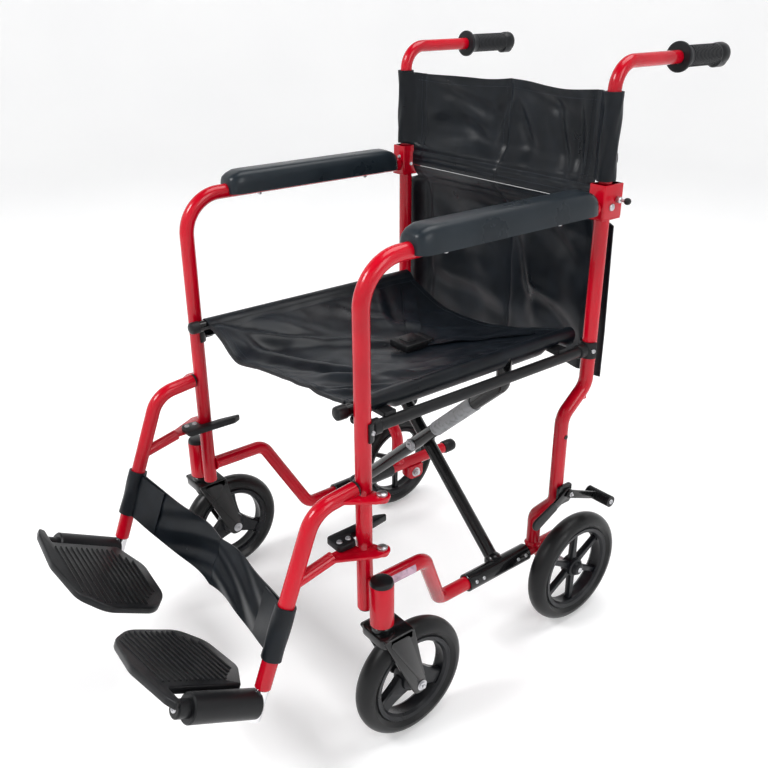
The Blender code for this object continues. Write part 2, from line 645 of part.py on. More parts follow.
def rear_wheel(side, s):
    """Axle bracket with its stub axle, rim and tyre."""
    axis = (1.0, 0.0, 0.0)
    y = FRONT_Y + REAR_WHEEL_Y
    centre = Vector((s * REAR_WHEEL_X, y, REAR_WHEEL_R))
    bracket = box((s * (RAIL_X - 0.012), y - 0.018, REAR_WHEEL_R - 0.013),
                  (s * (RAIL_X + 0.010), y + 0.018, RAIL_Z - TUBE_R - GAP))
    axle = rod((s * (RAIL_X - 0.021), y, REAR_WHEEL_R), (s * (REAR_WHEEL_X + 0.022), y, REAR_WHEEL_R),
               AXLE_R)
    nut = rod((s * (RAIL_X - 0.020), y, REAR_WHEEL_R), (s * (RAIL_X - 0.011), y, REAR_WHEEL_R),
              0.0085, 6)
    part(name_of("axle_bracket", side), combine(bracket, [axle, nut]), "red_paint")
    rim = wheel_rim(REAR_RIM_R, 0.012, 0.016, 0.0165, AXLE_R + 0.0006, 5, 0.012, centre, axis)
    part(name_of("rear_rim", side), rim, "black_plastic", tuple(centre))
    part(name_of("rear_tyre", side),
         turned(tyre(TYRE_WIDTH, REAR_WHEEL_R, REAR_RIM_R + GAP), centre, axis, WHEEL_SIDES), "black_rubber",
         tuple(centre))


# ---------------------------------------------------------------- brakes
def brake(side, s):
    """Bracket on the rear post, hand lever, and the roller that presses on the tyre."""
    y = FRONT_Y + BRAKE_PIVOT_Y
    inside = POST_X + TUBE_R + GAP
    body = box((s * inside, LOWER_REAR_Y - 0.012, BRAKE_Z - 0.020),
               (s * (inside + 0.005), y + 0.012, BRAKE_Z + 0.014))
    bolt = rod((s * inside, y, BRAKE_Z), (s * (inside + 0.016), y, BRAKE_Z), 0.003, 8)
    part(name_of("brake_bracket", side), combine(body, [bolt]), "black_paint")
    x = inside + 0.005 + GAP + 0.0002
    down = Vector((0, -0.905, -0.425)).normalized()
    over = Vector((0, 0.425, -0.905)).normalized()
    start = Vector((s * x, y, BRAKE_Z))
    lever = [start + over * 0.008 - down * 0.008, start - over * 0.008 - down * 0.008,
             start - over * 0.010 + down * BRAKE_LEVER_LENGTH, start + over * 0.010 + down * BRAKE_LEVER_LENGTH]
    blade = extruded(rounded(lever, [0.007, 0.007, 0.008, 0.008], 2), (s, 0, 0), 0.0045)
    hole = rod(start - Vector((0.02, 0, 0)), start + Vector((0.02, 0, 0)), 0.0036, 8)
    part(name_of("brake_lever", side), combine(blade, [], [hole]), "black_plastic", tuple(start))
    x += 0.0045 + GAP
    start = Vector((s * x, y, BRAKE_Z))
    reach = Vector((0, BRAKE_ARM[0], BRAKE_ARM[1]))
    along = reach.normalized()
    normal = Vector((0, -along.z, along.y))
    outline = [start - along * 0.007 - normal * 0.007, start - along * 0.007 + normal * 0.007,
               start + reach + normal * 0.005, start + reach - normal * 0.005]
    arm = extruded(rounded(outline, [0.006, 0.006, 0.003, 0.003], 2), (s, 0, 0), 0.0035)
    middle = s * (x + 0.006)
    roller = rod((middle - BRAKE_ROLLER_LENGTH / 2, y + reach.y, BRAKE_Z + reach.z),
                 (middle + BRAKE_ROLLER_LENGTH / 2, y + reach.y, BRAKE_Z + reach.z), BRAKE_ROLLER_R)
    hole = rod(start - Vector((0.004, 0, 0)), start + Vector((0.006, 0, 0)), 0.0036, 8)
    part(name_of("brake_shoe", side), combine(arm, [roller], [hole]), "black_plastic", tuple(start))


# ---------------------------------------------------------------- footrests
def hanger_points():
    """Top, knee and foot of the hanger tube, as (y, z) pairs."""
    knee_z = HANGER_TOP_Z - HANGER_FALL
    foot_y = FRONT_Y - HANGER_KNEE - (knee_z - HANGER_BOTTOM_Z) * math.tan(HANGER_ANGLE)
    return (FRONT_Y - TUBE_R - 0.003, HANGER_TOP_Z), (FRONT_Y - HANGER_KNEE, knee_z), (foot_y, HANGER_BOTTOM_Z)


def hanger(side, s):
    """Swing-away hanger: bent tube, upper hinge plate, lower strut and its hinge plate."""
    top, knee, foot = hanger_points()
    path = fillet([(s * POST_X, *top), (s * POST_X, *knee), (s * POST_X, *foot)], HANGER_BEND, 5)
    pivot_y = FRONT_Y + HANGER_PIVOT_Y
    added, cut = [], []
    for z, inner, reach in ((UPPER_LUG_Z, POST_X - 0.008, 0.045), (LOWER_LUG_Z, POST_X - 0.006, 0.060)):
        low = z + GAP
        clear = TUBE_R + 0.0015
        outline = rounded([(s * inner, FRONT_Y - reach, low), (s * (POST_X + 0.009), FRONT_Y - reach, low),
                           (s * (HANGER_PIVOT_X + LUG_R), pivot_y - 0.014, low),
                           (s * (HANGER_PIVOT_X + LUG_R), pivot_y + LUG_R, low),
                           (s * (HANGER_PIVOT_X - LUG_R), pivot_y + LUG_R, low),
                           (s * (HANGER_PIVOT_X - LUG_R), FRONT_Y - clear - 0.002, low),
                           (s * inner, FRONT_Y - clear - 0.002, low)], [0, 0, 0.012, 0.010, 0.010, 0.004, 0], 3)
        added.append(extruded(outline, (0, 0, 1), LUG_THICK))
        cut.append(rod((s * HANGER_PIVOT_X, pivot_y, low - 0.01), (s * HANGER_PIVOT_X, pivot_y, low + 0.02),
                       PIVOT_BOLT_R + 0.0005, 8))
    slope = math.tan(HANGER_ANGLE)
    meet_z = LOWER_LUG_Z - 0.012
    meet_y = foot[0] + (meet_z - foot[1]) * slope
    added.append(rod((s * POST_X, meet_y, meet_z), (s * (POST_X + 0.001), FRONT_Y - 0.052, LOWER_LUG_Z + 0.0025), 0.0075, 8))
    return part(name_of("hanger", side), combine(tube(path, TUBE_R), added, cut), "red_paint",
                (s * HANGER_PIVOT_X, pivot_y, UPPER_LUG_Z))


def hanger_release_lever(side, s):
    """Latch lever on the lower hinge plate, passing inboard of the post."""
    z = LOWER_LUG_Z + LUG_THICK + 2 * GAP
    post_side = POST_X - TUBE_R - 0.0025
    outline = rounded([(s * (POST_X + 0.004), FRONT_Y - 0.043, z), (s * (POST_X + 0.004), FRONT_Y - 0.016, z),
                       (s * post_side, FRONT_Y - 0.013, z), (s * post_side, FRONT_Y + 0.020, z),
                       (s * (post_side - 0.006), FRONT_Y + 0.060, z), (s * (post_side - 0.016), FRONT_Y + 0.040, z),
                       (s * (post_side - 0.014), FRONT_Y - 0.043, z)], [0.006, 0.003, 0, 0, 0.003, 0, 0.006], 2)
    pivot = (s * (POST_X - 0.012), FRONT_Y - 0.030, z)
    return part(name_of("hanger_release_lever", side), extruded(outline, (0, 0, 1), 0.010), "black_plastic", pivot)


def foot_frame(s):
    """Centre and directions of the footplate: along the barrel, across it and up."""
    foot = hanger_points()[2]
    down = Vector((0, -math.sin(HANGER_ANGLE), -math.cos(HANGER_ANGLE)))
    end = Vector((s * POST_X, foot[0], foot[1])) + down * (GAP + EXTENSION_LENGTH)
    along = Vector((0, -math.cos(PLATE_TILT), math.sin(PLATE_TILT)))
    return down, end, along


def plate_frame(s):
    """Start of the barrel, with the directions along it, inward across the plate and up from it."""
    down, end, along = foot_frame(s)
    barrel_start = end - down * BARREL_LIFT + along * (EXTENSION_R + 0.0050)
    level = Vector((0, math.sin(PLATE_TILT), math.cos(PLATE_TILT)))
    inward = Vector((-s * math.cos(PLATE_DROOP), 0, 0)) - level * math.sin(PLATE_DROOP)
    up = along.cross(inward).normalized()
    if up.z < 0:
        up = -up
    return barrel_start, along, inward, up


def footrest_extension(side, s):
    """Chrome tube with the fixed barrel and nub that carry the footplate."""
    foot = hanger_points()[2]
    down, end, along = foot_frame(s)
    start = Vector((s * POST_X, foot[0], foot[1])) + down * GAP
    barrel_start = plate_frame(s)[0]
    barrel = rod(barrel_start - along * 0.010, barrel_start + along * BARREL_LENGTH, BARREL_R)
    nub = rod(barrel_start + along * (BARREL_LENGTH - 0.002), barrel_start + along * (BARREL_LENGTH + NUB_LENGTH), NUB_R, 10)
    return part(name_of("footrest_extension", side), combine(rod(start, end, EXTENSION_R), [barrel, nub]), "chrome")


def footplate(side, s):
    """Footplate hinged beside its barrel, toe up and drooping a little inward."""
    barrel_start, along, inward, up = plate_frame(s)
    corner = barrel_start + up * (BARREL_R - PLATE_THICK - 0.002)
    clear = BARREL_LENGTH + NUB_LENGTH + 0.002
    shape = [(PLATE_START, 0.004), (0.070, -0.024), (0.150, -0.022), (PLATE_WIDTH, 0.006), (PLATE_WIDTH, 0.085),
             (0.157, 0.120), (0.080, PLATE_LENGTH - 0.016), (0.000, PLATE_LENGTH - 0.022), (-0.018, 0.122),
             (-0.012, clear), (PLATE_START, clear)]
    radii = [0, 0.040, 0.045, 0.030, 0.040, 0.040, 0.060, 0.018, 0.008, 0, 0]
    outline = rounded([corner + inward * u + along * v for u, v in shape], radii, 3)
    pivot = barrel_start + inward * PLATE_PIVOT[0] + up * PLATE_PIVOT[1]
    return part(name_of("footplate", side), extruded(outline, up, PLATE_THICK), "black_plastic", tuple(pivot))


# ---------------------------------------------------------------- cloth
def seat_sling():
    """Sagging seat cloth between the seat rails."""
    edge = SEAT_RAIL_X - SEAT_RAIL_R - 0.0012
    rows = []
    for i in range(5):
        y = FRONT_Y + 0.004 + (SEAT_RAIL_BACK - 0.004) * i / 4
        row = []
        for j in range(11):
            x = -edge + 2 * edge * j / 10
            row.append((x, y, SEAT_RAIL_Z - SEAT_SAG * (1 - (x / edge) ** 2)))
        rows.append(row)
    return part("seat_sling", sheet(rows, SLING_THICK), "black_nylon")


def back_depth(x, z):
    """How far behind the posts the back cloth hangs; it is flatter near the hinge line."""
    share = min(1.0, abs(x) / POST_X)
    ease = 0.1 + 0.9 * min(1.0, abs(z - HINGE_Z) / 0.1)
    return BACK_SAG * (1 - share ** 2) * ease


def upper_back(side, s):
    """Upper back cloth with the sleeve that slides over the cane."""
    low = HINGE_Z + 0.036
    high = BACK_TOP_Z
    outer = CANE_R + SLEEVE_CLOTH + 0.0006
    inner = CANE_R + 0.0006
    ring = turned([(inner, 0), (outer, 0), (outer, high - low), (inner, high - low)],
                  (s * POST_X, REAR_Y, low), (0, 0, 1), 12)
    rows = []
    wide = POST_X - CANE_R - 0.0015
    for z, edge in ((HINGE_Z + CENTRE_GAP, CLOTH_NARROW), (low - 0.005, CLOTH_NARROW), (low + 0.001, wide),
                    ((low + high) / 2, wide), (high, wide)):
        row = []
        for j in range(6):
            x = CENTRE_GAP + (edge - CENTRE_GAP) * j / 5
            row.append((s * x, REAR_Y + back_depth(x, z), z))
        rows.append(row)
    return part(name_of("back_sling_upper", side), combine(ring, [sheet(rows, BACK_THICK)]), "black_nylon",
                (s * POST_X, REAR_Y, HINGE_Z))


def lower_back(side, s):
    """Lower back cloth, hung behind the rear post."""
    rows = []
    behind = TUBE_R + 0.0035
    middle = (BACK_BOTTOM_Z + HINGE_BACK_Z) / 2
    for z, edge, back in ((BACK_BOTTOM_Z, POST_X + 0.006, behind), (middle, POST_X + 0.006, behind),
                          (HINGE_BACK_Z - 0.008, POST_X + 0.006, behind), (HINGE_BACK_Z - 0.003, CLOTH_NARROW, behind),
                          (HINGE_Z - CENTRE_GAP, CLOTH_NARROW, 0.0)):
        row = []
        for j in range(7):
            x = CENTRE_GAP + (edge - CENTRE_GAP) * j / 6
            row.append((s * x, REAR_Y + back + back_depth(x, z), z))
        rows.append(row)
    return part(name_of("back_sling_lower", side), sheet(rows, BACK_THICK), "black_nylon")


def calf_strap(side, s):
    """Half of the calf strap, with the loop that goes round the hanger tube."""
    foot = hanger_points()[2]
    slope = math.tan(HANGER_ANGLE)
    low_z = 0.2075
    low = Vector((s * POST_X, foot[0] + (low_z - foot[1]) * slope, low_z))
    up = Vector((0, math.sin(HANGER_ANGLE), math.cos(HANGER_ANGLE)))
    outer = TUBE_R + 0.0006 + STRAP_THICK
    inner = (TUBE_R + 0.0006) / math.cos(math.pi / 12)
    loop = turned([(inner, 0), (outer, 0), (outer, STRAP_HEIGHT), (inner, STRAP_HEIGHT)], low, up, 12)
    back = Vector((0, math.cos(HANGER_ANGLE), -math.sin(HANGER_ANGLE)))
    rows = []
    for i in range(3):
        row = []
        for j in range(6):
            x = CENTRE_GAP + (POST_X - TUBE_R - 0.0012 - CENTRE_GAP) * j / 5
            share = x / POST_X
            base = Vector((s * x, low.y, low.z)) + up * STRAP_HEIGHT * i / 2
            row.append(base + back * 0.030 * (1 - share ** 2) + Vector((0, 0, -0.016 * (1 - share ** 2))))
        rows.append(row)
    return part(name_of("calf_strap", side), combine(loop, [sheet(rows, STRAP_THICK)]), "black_nylon",
                (s * HANGER_PIVOT_X, FRONT_Y + HANGER_PIVOT_Y, UPPER_LUG_Z))


def lap_belt(side, s):
    """Half of the lap belt lying on the seat; the left half carries the buckle."""
    edge = SEAT_RAIL_X - SEAT_RAIL_R - 0.0012
    lift = SLING_THICK / 2 + BELT_THICK / 2 + BELT_CLEAR
    ends = {1.0: ((0.150, 0.370), (0.022, 0.215)), -1.0: ((-0.150, 0.370), (-0.020, 0.250))}[s]
    (x0, y0), (x1, y1) = ends
    forward = Vector((x1 - x0, y1 - y0, 0)).normalized()
    across = Vector((-forward.y, forward.x, 0)) * BELT_WIDTH / 2
    rows = []
    for i in range(7):
        share = i / 6
        x, y = x0 + (x1 - x0) * share, y0 + (y1 - y0) * share
        row = []
        for way in (-1, 0, 1):
            px, py = x + way * across.x, y + way * across.y
            row.append((px, FRONT_Y + py, SEAT_RAIL_Z - SEAT_SAG * (1 - (px / edge) ** 2) + lift))
        rows.append(row)
    strap = sheet(rows, BELT_THICK)
    added = []
    if s > 0:
        z = SEAT_RAIL_Z - SEAT_SAG + lift
        added.append(box((0.003, FRONT_Y + 0.180, z + 0.0002), (0.046, FRONT_Y + 0.240, z + 0.013)))
    return part(name_of("lap_belt", side), combine(strap, added), "black_nylon")


# ---------------------------------------------------------------- the chair
def clear_scene():
    for old in list(bpy.data.objects):
        bpy.data.objects.remove(old)


def build():
    clear_scene()
    for side, s in SIDES:
        front_arm_tube(side, s)
        rear_post(side, s)
        lower_rail(side, s)
        tipping_cap(side, s)
        caster_housing(side, s)
        armrest_pad(side, s)
        back_bracket(side, s)
        back_release_pin(side, s)
        back_cane(side, s)
        push_grip(side, s)
        seat_support_rail(side, s)
        caster(side, s)
        rear_wheel(side, s)
        brake(side, s)
        hanger(side, s)
        hanger_release_lever(side, s)
        footrest_extension(side, s)
        footplate(side, s)
        upper_back(side, s)
        lower_back(side, s)
        calf_strap(side, s)
        lap_belt(side, s)
    cross_brace("cross_brace_front", BRACE_FRONT_Y, -1.0)
    cross_brace("cross_brace_rear", BRACE_REAR_Y, 1.0)
    cross_pivot_bolt()
    seat_sling()


build()
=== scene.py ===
"""Looks of a folding transit wheelchair: painted tubes, moulded parts, nylon cloth, wheels and stage."""

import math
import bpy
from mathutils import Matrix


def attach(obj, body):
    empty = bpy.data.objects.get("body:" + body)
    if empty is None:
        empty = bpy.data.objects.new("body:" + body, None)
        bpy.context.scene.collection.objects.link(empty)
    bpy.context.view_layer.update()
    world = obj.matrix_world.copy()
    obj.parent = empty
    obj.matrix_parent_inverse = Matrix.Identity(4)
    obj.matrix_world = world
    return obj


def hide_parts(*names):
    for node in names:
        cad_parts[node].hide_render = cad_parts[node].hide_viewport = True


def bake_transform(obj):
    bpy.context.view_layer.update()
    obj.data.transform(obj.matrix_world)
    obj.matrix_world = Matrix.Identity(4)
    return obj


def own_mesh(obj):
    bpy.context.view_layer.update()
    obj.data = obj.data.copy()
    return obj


bl_info = {
    "name": "Transit Wheelchair",
    "version": (1, 0, 0),
    "blender": (4, 5, 0),
    "location": "3D View > Sidebar > Wheelchair",
    "description": "Builds the finished pieces of a folding transit wheelchair on its CAD frame",
    "category": "Object",
}

import bmesh
import bpy
import numpy as np
from mathutils import Matrix, Vector, noise

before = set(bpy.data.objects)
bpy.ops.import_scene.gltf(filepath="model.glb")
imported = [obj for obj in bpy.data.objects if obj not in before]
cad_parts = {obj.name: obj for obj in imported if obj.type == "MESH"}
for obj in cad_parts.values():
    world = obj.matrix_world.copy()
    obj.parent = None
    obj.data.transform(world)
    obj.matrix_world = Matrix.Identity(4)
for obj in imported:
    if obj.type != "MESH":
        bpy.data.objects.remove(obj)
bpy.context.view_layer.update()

SIDES = (("left", 1.0), ("right", -1.0))
CLEAR = 0.0003

# ---------------------------------------------------------------- fixed places, in metres
FRONT_Y = -0.1875
REAR_Y = 0.2465
LOWER_REAR_Y = 0.1975
POST_X = 0.218
TUBE_R = 0.011
ARM_Z = 0.700
RAIL_X = 0.179
RAIL_Z = 0.119
RAIL_FRONT_Z = 0.243
RAIL_END_Y = FRONT_Y + 0.505
SUPPORT_Z = 0.483
SEAT_X = 0.192
SEAT_Z = 0.503
SEAT_RAIL_R = 0.0085
BRACE_Y = FRONT_Y + 0.2885
BRACE_SIDE = 0.012
BRACE_TOP_Z = 0.4585
CROSS_Z = RAIL_Z + (BRACE_TOP_Z - RAIL_Z) * RAIL_X / (RAIL_X + SEAT_X)
SLEEVE_START = FRONT_Y + 0.230
SLEEVE_LENGTH = 0.137
HINGE_Z = 0.701
CANE_R = 0.0095
HANDLE_Z = 0.893
HOUSING_X = 0.2545
HOUSING_LOW = 0.2085
HOUSING_TOP = 0.2790
CASTER_R = 0.0915
CASTER_Y = FRONT_Y + 0.049
REAR_WHEEL = (0.234, FRONT_Y + 0.4232, 0.097)
BRAKE_Y = FRONT_Y + 0.392
BRAKE_Z = 0.252
HANGER_X = 0.246
HANGER_Y = FRONT_Y + 0.008
UPPER_LUG_Z = 0.3965
LOWER_LUG_Z = 0.3155
HANGER_ANGLE = math.radians(21.3)
HANGER_KNEE = (FRONT_Y - 0.078, 0.396)
HANGER_FOOT = (HANGER_KNEE[0] - (0.396 - 0.168) * math.tan(HANGER_ANGLE), 0.168)
PLATE_TILT = math.radians(28.0)
PLATE_DROOP = math.radians(6.0)
BACK_TOP_Z = 0.856
BACK_LOW_Z = 0.430
BACK_EDGE_X = 0.2035        # inner face of the back bracket


# ---------------------------------------------------------------- settings
class WheelchairTubes(bpy.types.PropertyGroup):
    """Sizes and colour of the painted tube frame."""
    sides: bpy.props.IntProperty(name="Tube sides", description="Facets round each tube", default=36, min=12)
    paint: bpy.props.FloatVectorProperty(name="Frame paint", description="Colour of the painted frame",
                                         subtype="COLOR", size=3, default=(0.50, 0.0, 0.012))
    paint_gloss: bpy.props.FloatProperty(name="Paint roughness", description="Lower is glossier",
                                         default=0.2, min=0.05, max=0.8)


class WheelchairCloth(bpy.types.PropertyGroup):
    """Sizes and colour of the nylon seat, back and straps."""
    colour: bpy.props.FloatVectorProperty(name="Nylon", description="Colour of the nylon cloth",
                                          subtype="COLOR", size=3, default=(0.0022, 0.0036, 0.0056))
    seat_sag: bpy.props.FloatProperty(name="Seat sag", description="How far the seat hangs in the middle",
                                      default=0.040, unit="LENGTH")
    back_sag: bpy.props.FloatProperty(name="Back sag", description="How far the back bows behind the canes",
                                      default=0.026, unit="LENGTH")
    stitch: bpy.props.FloatProperty(name="Stitch spacing", description="Distance between stitches",
                                    default=0.0042, unit="LENGTH")


class WheelchairWheels(bpy.types.PropertyGroup):
    """Sizes of the wheels and grips."""
    spokes_front: bpy.props.IntProperty(name="Caster spokes", description="Spokes of each front wheel",
                                        default=3)
    spokes_rear: bpy.props.IntProperty(name="Rear spokes", description="Spokes of each rear wheel", default=6)
    tyre_width: bpy.props.FloatProperty(name="Tyre width", description="Width of all four tyres",
                                        default=0.034, unit="LENGTH")


# ---------------------------------------------------------------- shader expressions
class Value:
    """A socket that takes part in arithmetic; each operation adds a Math node."""

    def __init__(self, nodes, socket):
        self.nodes = nodes
        self.socket = socket

    def math(self, operation, first, second=None):
        inputs = {0: first}
        if second is not None:
            inputs[1] = second
        return self.nodes.add("ShaderNodeMath", {"operation": operation}, inputs)

    def __add__(self, other):
        return self.math("ADD", self, other)

    __radd__ = __add__

    def __mul__(self, other):
        return self.math("MULTIPLY", self, other)

    __rmul__ = __mul__

    def __sub__(self, other):
        return self.math("SUBTRACT", self, other)

    def __rsub__(self, other):
        return self.math("SUBTRACT", other, self)


class Nodes:
    """Builds one material's node tree."""

    def __init__(self, name):
        self.material = bpy.data.materials.new(name)
        self.material.use_nodes = True
        self.tree = self.material.node_tree
        self.shader = self.tree.nodes["Principled BSDF"]
        self.place = self.add("ShaderNodeTexCoord", {}, {}, "Object")

    def add(self, kind, settings, inputs, output=0):
        node = self.tree.nodes.new(kind)
        for key, value in settings.items():
            setattr(node, key, value)
        for key, value in inputs.items():
            self.feed(node.inputs[key], value)
        return Value(self, node.outputs[output])

    def feed(self, socket, value):
        if isinstance(value, Value):
            self.tree.links.new(value.socket, socket)
        else:
            socket.default_value = value

    def noise(self, scale, detail=3.0, place=None, roughness=0.5):
        return self.add("ShaderNodeTexNoise", {}, {"Vector": place or self.place, "Scale": scale,
                                                   "Detail": detail, "Roughness": roughness})

    def ramp(self, value, low, high, start=0.0, end=1.0):
        """Map value from (low, high) to (start, end), held at both ends."""
        return self.add("ShaderNodeMapRange", {}, {"Value": value, "From Min": low, "From Max": high,
                                                   "To Min": start, "To Max": end})

    def mix(self, factor, one, two):
        made = self.add("ShaderNodeMix", {"data_type": "RGBA"}, {0: factor, 6: one, 7: two}, 2)
        return made

    def bump(self, height, strength, distance):
        return self.add("ShaderNodeBump", {}, {"Height": height, "Strength": strength, "Distance": distance})

    def finish(self, fixed, varied):
        """Set the shader's own sockets, then link what changes over the surface."""
        for key, value in fixed.items():
            self.shader.inputs[key].default_value = value
        for key, value in varied.items():
            self.feed(self.shader.inputs[key], value)
        return self.material


def colour(rgb):
    return (*rgb, 1.0)


def paint_material(name, rgb, roughness, grain=0.10):
    """Gloss paint with faint orange peel and a little wear in its shine."""
    nodes = Nodes(name)
    cloud = nodes.noise(9.0, 4.0)
    peel = nodes.noise(260.0, 2.0)
    dark = tuple(channel * 0.72 for channel in rgb)
    base = nodes.mix(nodes.ramp(cloud, 0.35, 0.65), colour(dark), colour(rgb))
    rough = nodes.ramp(cloud, 0.3, 0.7, roughness, roughness + 0.07)
    return nodes.finish({"Coat Weight": 0.3, "Coat Roughness": 0.04, "Specular IOR Level": 0.2},
                        {"Base Color": base, "Roughness": rough, "Normal": nodes.bump(peel, grain, 0.0004)})


def moulded_material(name, rgb, roughness, grain_scale=900.0, grain=0.35):
    """Moulded plastic or rubber with a fine grain and slightly uneven shine."""
    nodes = Nodes(name)
    cloud = nodes.noise(14.0, 5.0)
    grit = nodes.noise(grain_scale, 2.0)
    light = tuple(channel * 1.5 + 0.001 for channel in rgb)
    base = nodes.mix(nodes.ramp(cloud, 0.3, 0.75), colour(rgb), colour(light))
    rough = nodes.ramp(cloud, 0.3, 0.7, roughness - 0.06, roughness + 0.08)
    return nodes.finish({"Specular IOR Level": 0.24},
                        {"Base Color": base, "Roughness": rough, "Normal": nodes.bump(grit, grain, 0.0003)})


def metal_material(name, rgb, roughness):
    """Plated or plain metal with soft smudges."""
    nodes = Nodes(name)
    smudge = nodes.noise(30.0, 4.0)
    base = nodes.mix(nodes.ramp(smudge, 0.35, 0.7), colour(rgb), colour(tuple(c * 0.82 for c in rgb)))
    rough = nodes.ramp(smudge, 0.3, 0.7, roughness, roughness + 0.10)
    return nodes.finish({"Metallic": 1.0}, {"Base Color": base, "Roughness": rough,
                                            "Normal": nodes.bump(nodes.noise(400.0, 2.0), 0.04, 0.0002)})


def nylon_material(name, rgb):
    """Coated nylon: square weave along the piece's own UV map, with rubbed pale patches."""
    nodes = Nodes(name)
    cloth_uv = nodes.add("ShaderNodeUVMap", {"uv_map": "cloth"}, {})
    warp = nodes.add("ShaderNodeTexWave", {"bands_direction": "X"}, {"Vector": cloth_uv, "Scale": 190.0})
    weft = nodes.add("ShaderNodeTexWave", {"bands_direction": "Y"}, {"Vector": cloth_uv, "Scale": 190.0})
    weave = warp * weft
    cloud = nodes.noise(11.0, 5.0, None, 0.6)
    streak = nodes.noise(45.0, 3.0)
    rubbed = nodes.ramp(cloud * 0.7 + streak * 0.3, 0.46, 0.68)
    pale = tuple(channel * 2.0 + 0.001 for channel in rgb)
    base = nodes.mix(rubbed, colour(rgb), colour(pale))
    rough = nodes.ramp(cloud, 0.3, 0.7, 0.26, 0.42)
    height = weave * 0.6 + nodes.noise(700.0, 2.0) * 0.4
    return nodes.finish({"Sheen Weight": 0.02, "Sheen Roughness": 0.4, "Specular IOR Level": 0.22,
                         "Sheen Tint": (0.6, 0.75, 1.0, 1.0)},
                        {"Base Color": base, "Roughness": rough, "Normal": nodes.bump(height, 0.22, 0.0004)})


def label_material(name, rgb):
    """Plain printed band, a little scuffed."""
    nodes = Nodes(name)
    scuff = nodes.noise(120.0, 4.0)
    base = nodes.mix(nodes.ramp(scuff, 0.5, 0.72), colour(rgb), colour(tuple(c * 0.55 for c in rgb)))
    return nodes.finish({"Specular IOR Level": 0.5},
                        {"Base Color": base, "Roughness": nodes.ramp(scuff, 0.3, 0.7, 0.3, 0.45)})


FINISHES = {}


def finish_of(name):
    """Return one of the chair's finishes, made once."""
    if name in FINISHES:
        return FINISHES[name]
    tubes = bpy.context.scene.wheelchair_tubes
    cloth = bpy.context.scene.wheelchair_cloth
    makers = {
        "red": lambda: paint_material("Crimson frame paint", tuple(tubes.paint), tubes.paint_gloss),
        "black": lambda: paint_material("Black brace paint", (0.0045, 0.0046, 0.0052), 0.22, 0.2),
        "plastic": lambda: moulded_material("Black moulding", (0.0045, 0.0048, 0.0056), 0.36),
        "vinyl": lambda: moulded_material("Armrest skin", (0.0080, 0.0120, 0.0160), 0.30, 420.0, 0.10),
        "rubber": lambda: moulded_material("Tyre rubber", (0.0040, 0.0042, 0.0046), 0.34, 500.0, 0.2),
        "rim": lambda: moulded_material("Wheel moulding", (0.0050, 0.0056, 0.0072), 0.30),
        "grip": lambda: moulded_material("Grip rubber", (0.0055, 0.0062, 0.0076), 0.34, 700.0, 0.3),
        "chrome": lambda: metal_material("Footrest chrome", (0.80, 0.80, 0.82), 0.08),
        "steel": lambda: metal_material("Plated screw steel", (0.55, 0.55, 0.57), 0.28),
        "nylon": lambda: nylon_material("Black nylon", tuple(cloth.colour)),
        "thread": lambda: moulded_material("Grey thread", (0.020, 0.026, 0.034), 0.5),
        "binding": lambda: moulded_material("Edge binding", (0.006, 0.0065, 0.008), 0.5, 900.0, 0.4),
        "label": lambda: label_material("Plain grey label", (0.25, 0.26, 0.27)),
        "band": lambda: label_material("Plain pale band", (0.52, 0.34, 0.44)),
    }
    FINISHES[name] = makers[name]()
    return FINISHES[name]


# ---------------------------------------------------------------- shapes
def fillet(points, radius, steps=14):
    """Round the inner corners of a line with arcs of one radius."""
    points = [Vector(p) for p in points]
    path = [points[0]]
    for before, corner, after in zip(points, points[1:], points[2:]):
        into = (before - corner).normalized()
        out = (after - corner).normalized()
        half = into.angle(out) / 2
        reach = min(radius / math.tan(half), (before - corner).length * 0.49, (after - corner).length * 0.49)
        size = reach * math.tan(half)
        centre = corner + (into + out).normalized() * (size / math.sin(half))
        start = corner + into * reach - centre
        end = corner + out * reach - centre
        turn = start.angle(end)
        axis = start.cross(end).normalized()
        for step in range(steps + 1):
            path.append(centre + Matrix.Rotation(turn * step / steps, 3, axis) @ start)
    path.append(points[-1])
    return path


def rounded(corners, radii, steps=6):
    """Round a closed flat outline's corners, one radius each."""
    corners = [Vector(c) for c in corners]
    outline = []
    for i, (corner, radius) in enumerate(zip(corners, radii)):
        before = corners[i - 1] - corner
        after = corners[(i + 1) % len(corners)] - corner
        if radius <= 0:
            outline.append(corner)
            continue
        into, out = before.normalized(), after.normalized()
        half = into.angle(out) / 2
        reach = min(radius / math.tan(half), before.length * 0.49, after.length * 0.49)
        size = reach * math.tan(half)
        centre = corner + (into + out).normalized() * (size / math.sin(half))
        start = corner + into * reach - centre
        end = corner + out * reach - centre
        axis = start.cross(end).normalized()
        turn = start.angle(end)
        for step in range(steps + 1):
            outline.append(centre + Matrix.Rotation(turn * step / steps, 3, axis) @ start)
    return outline


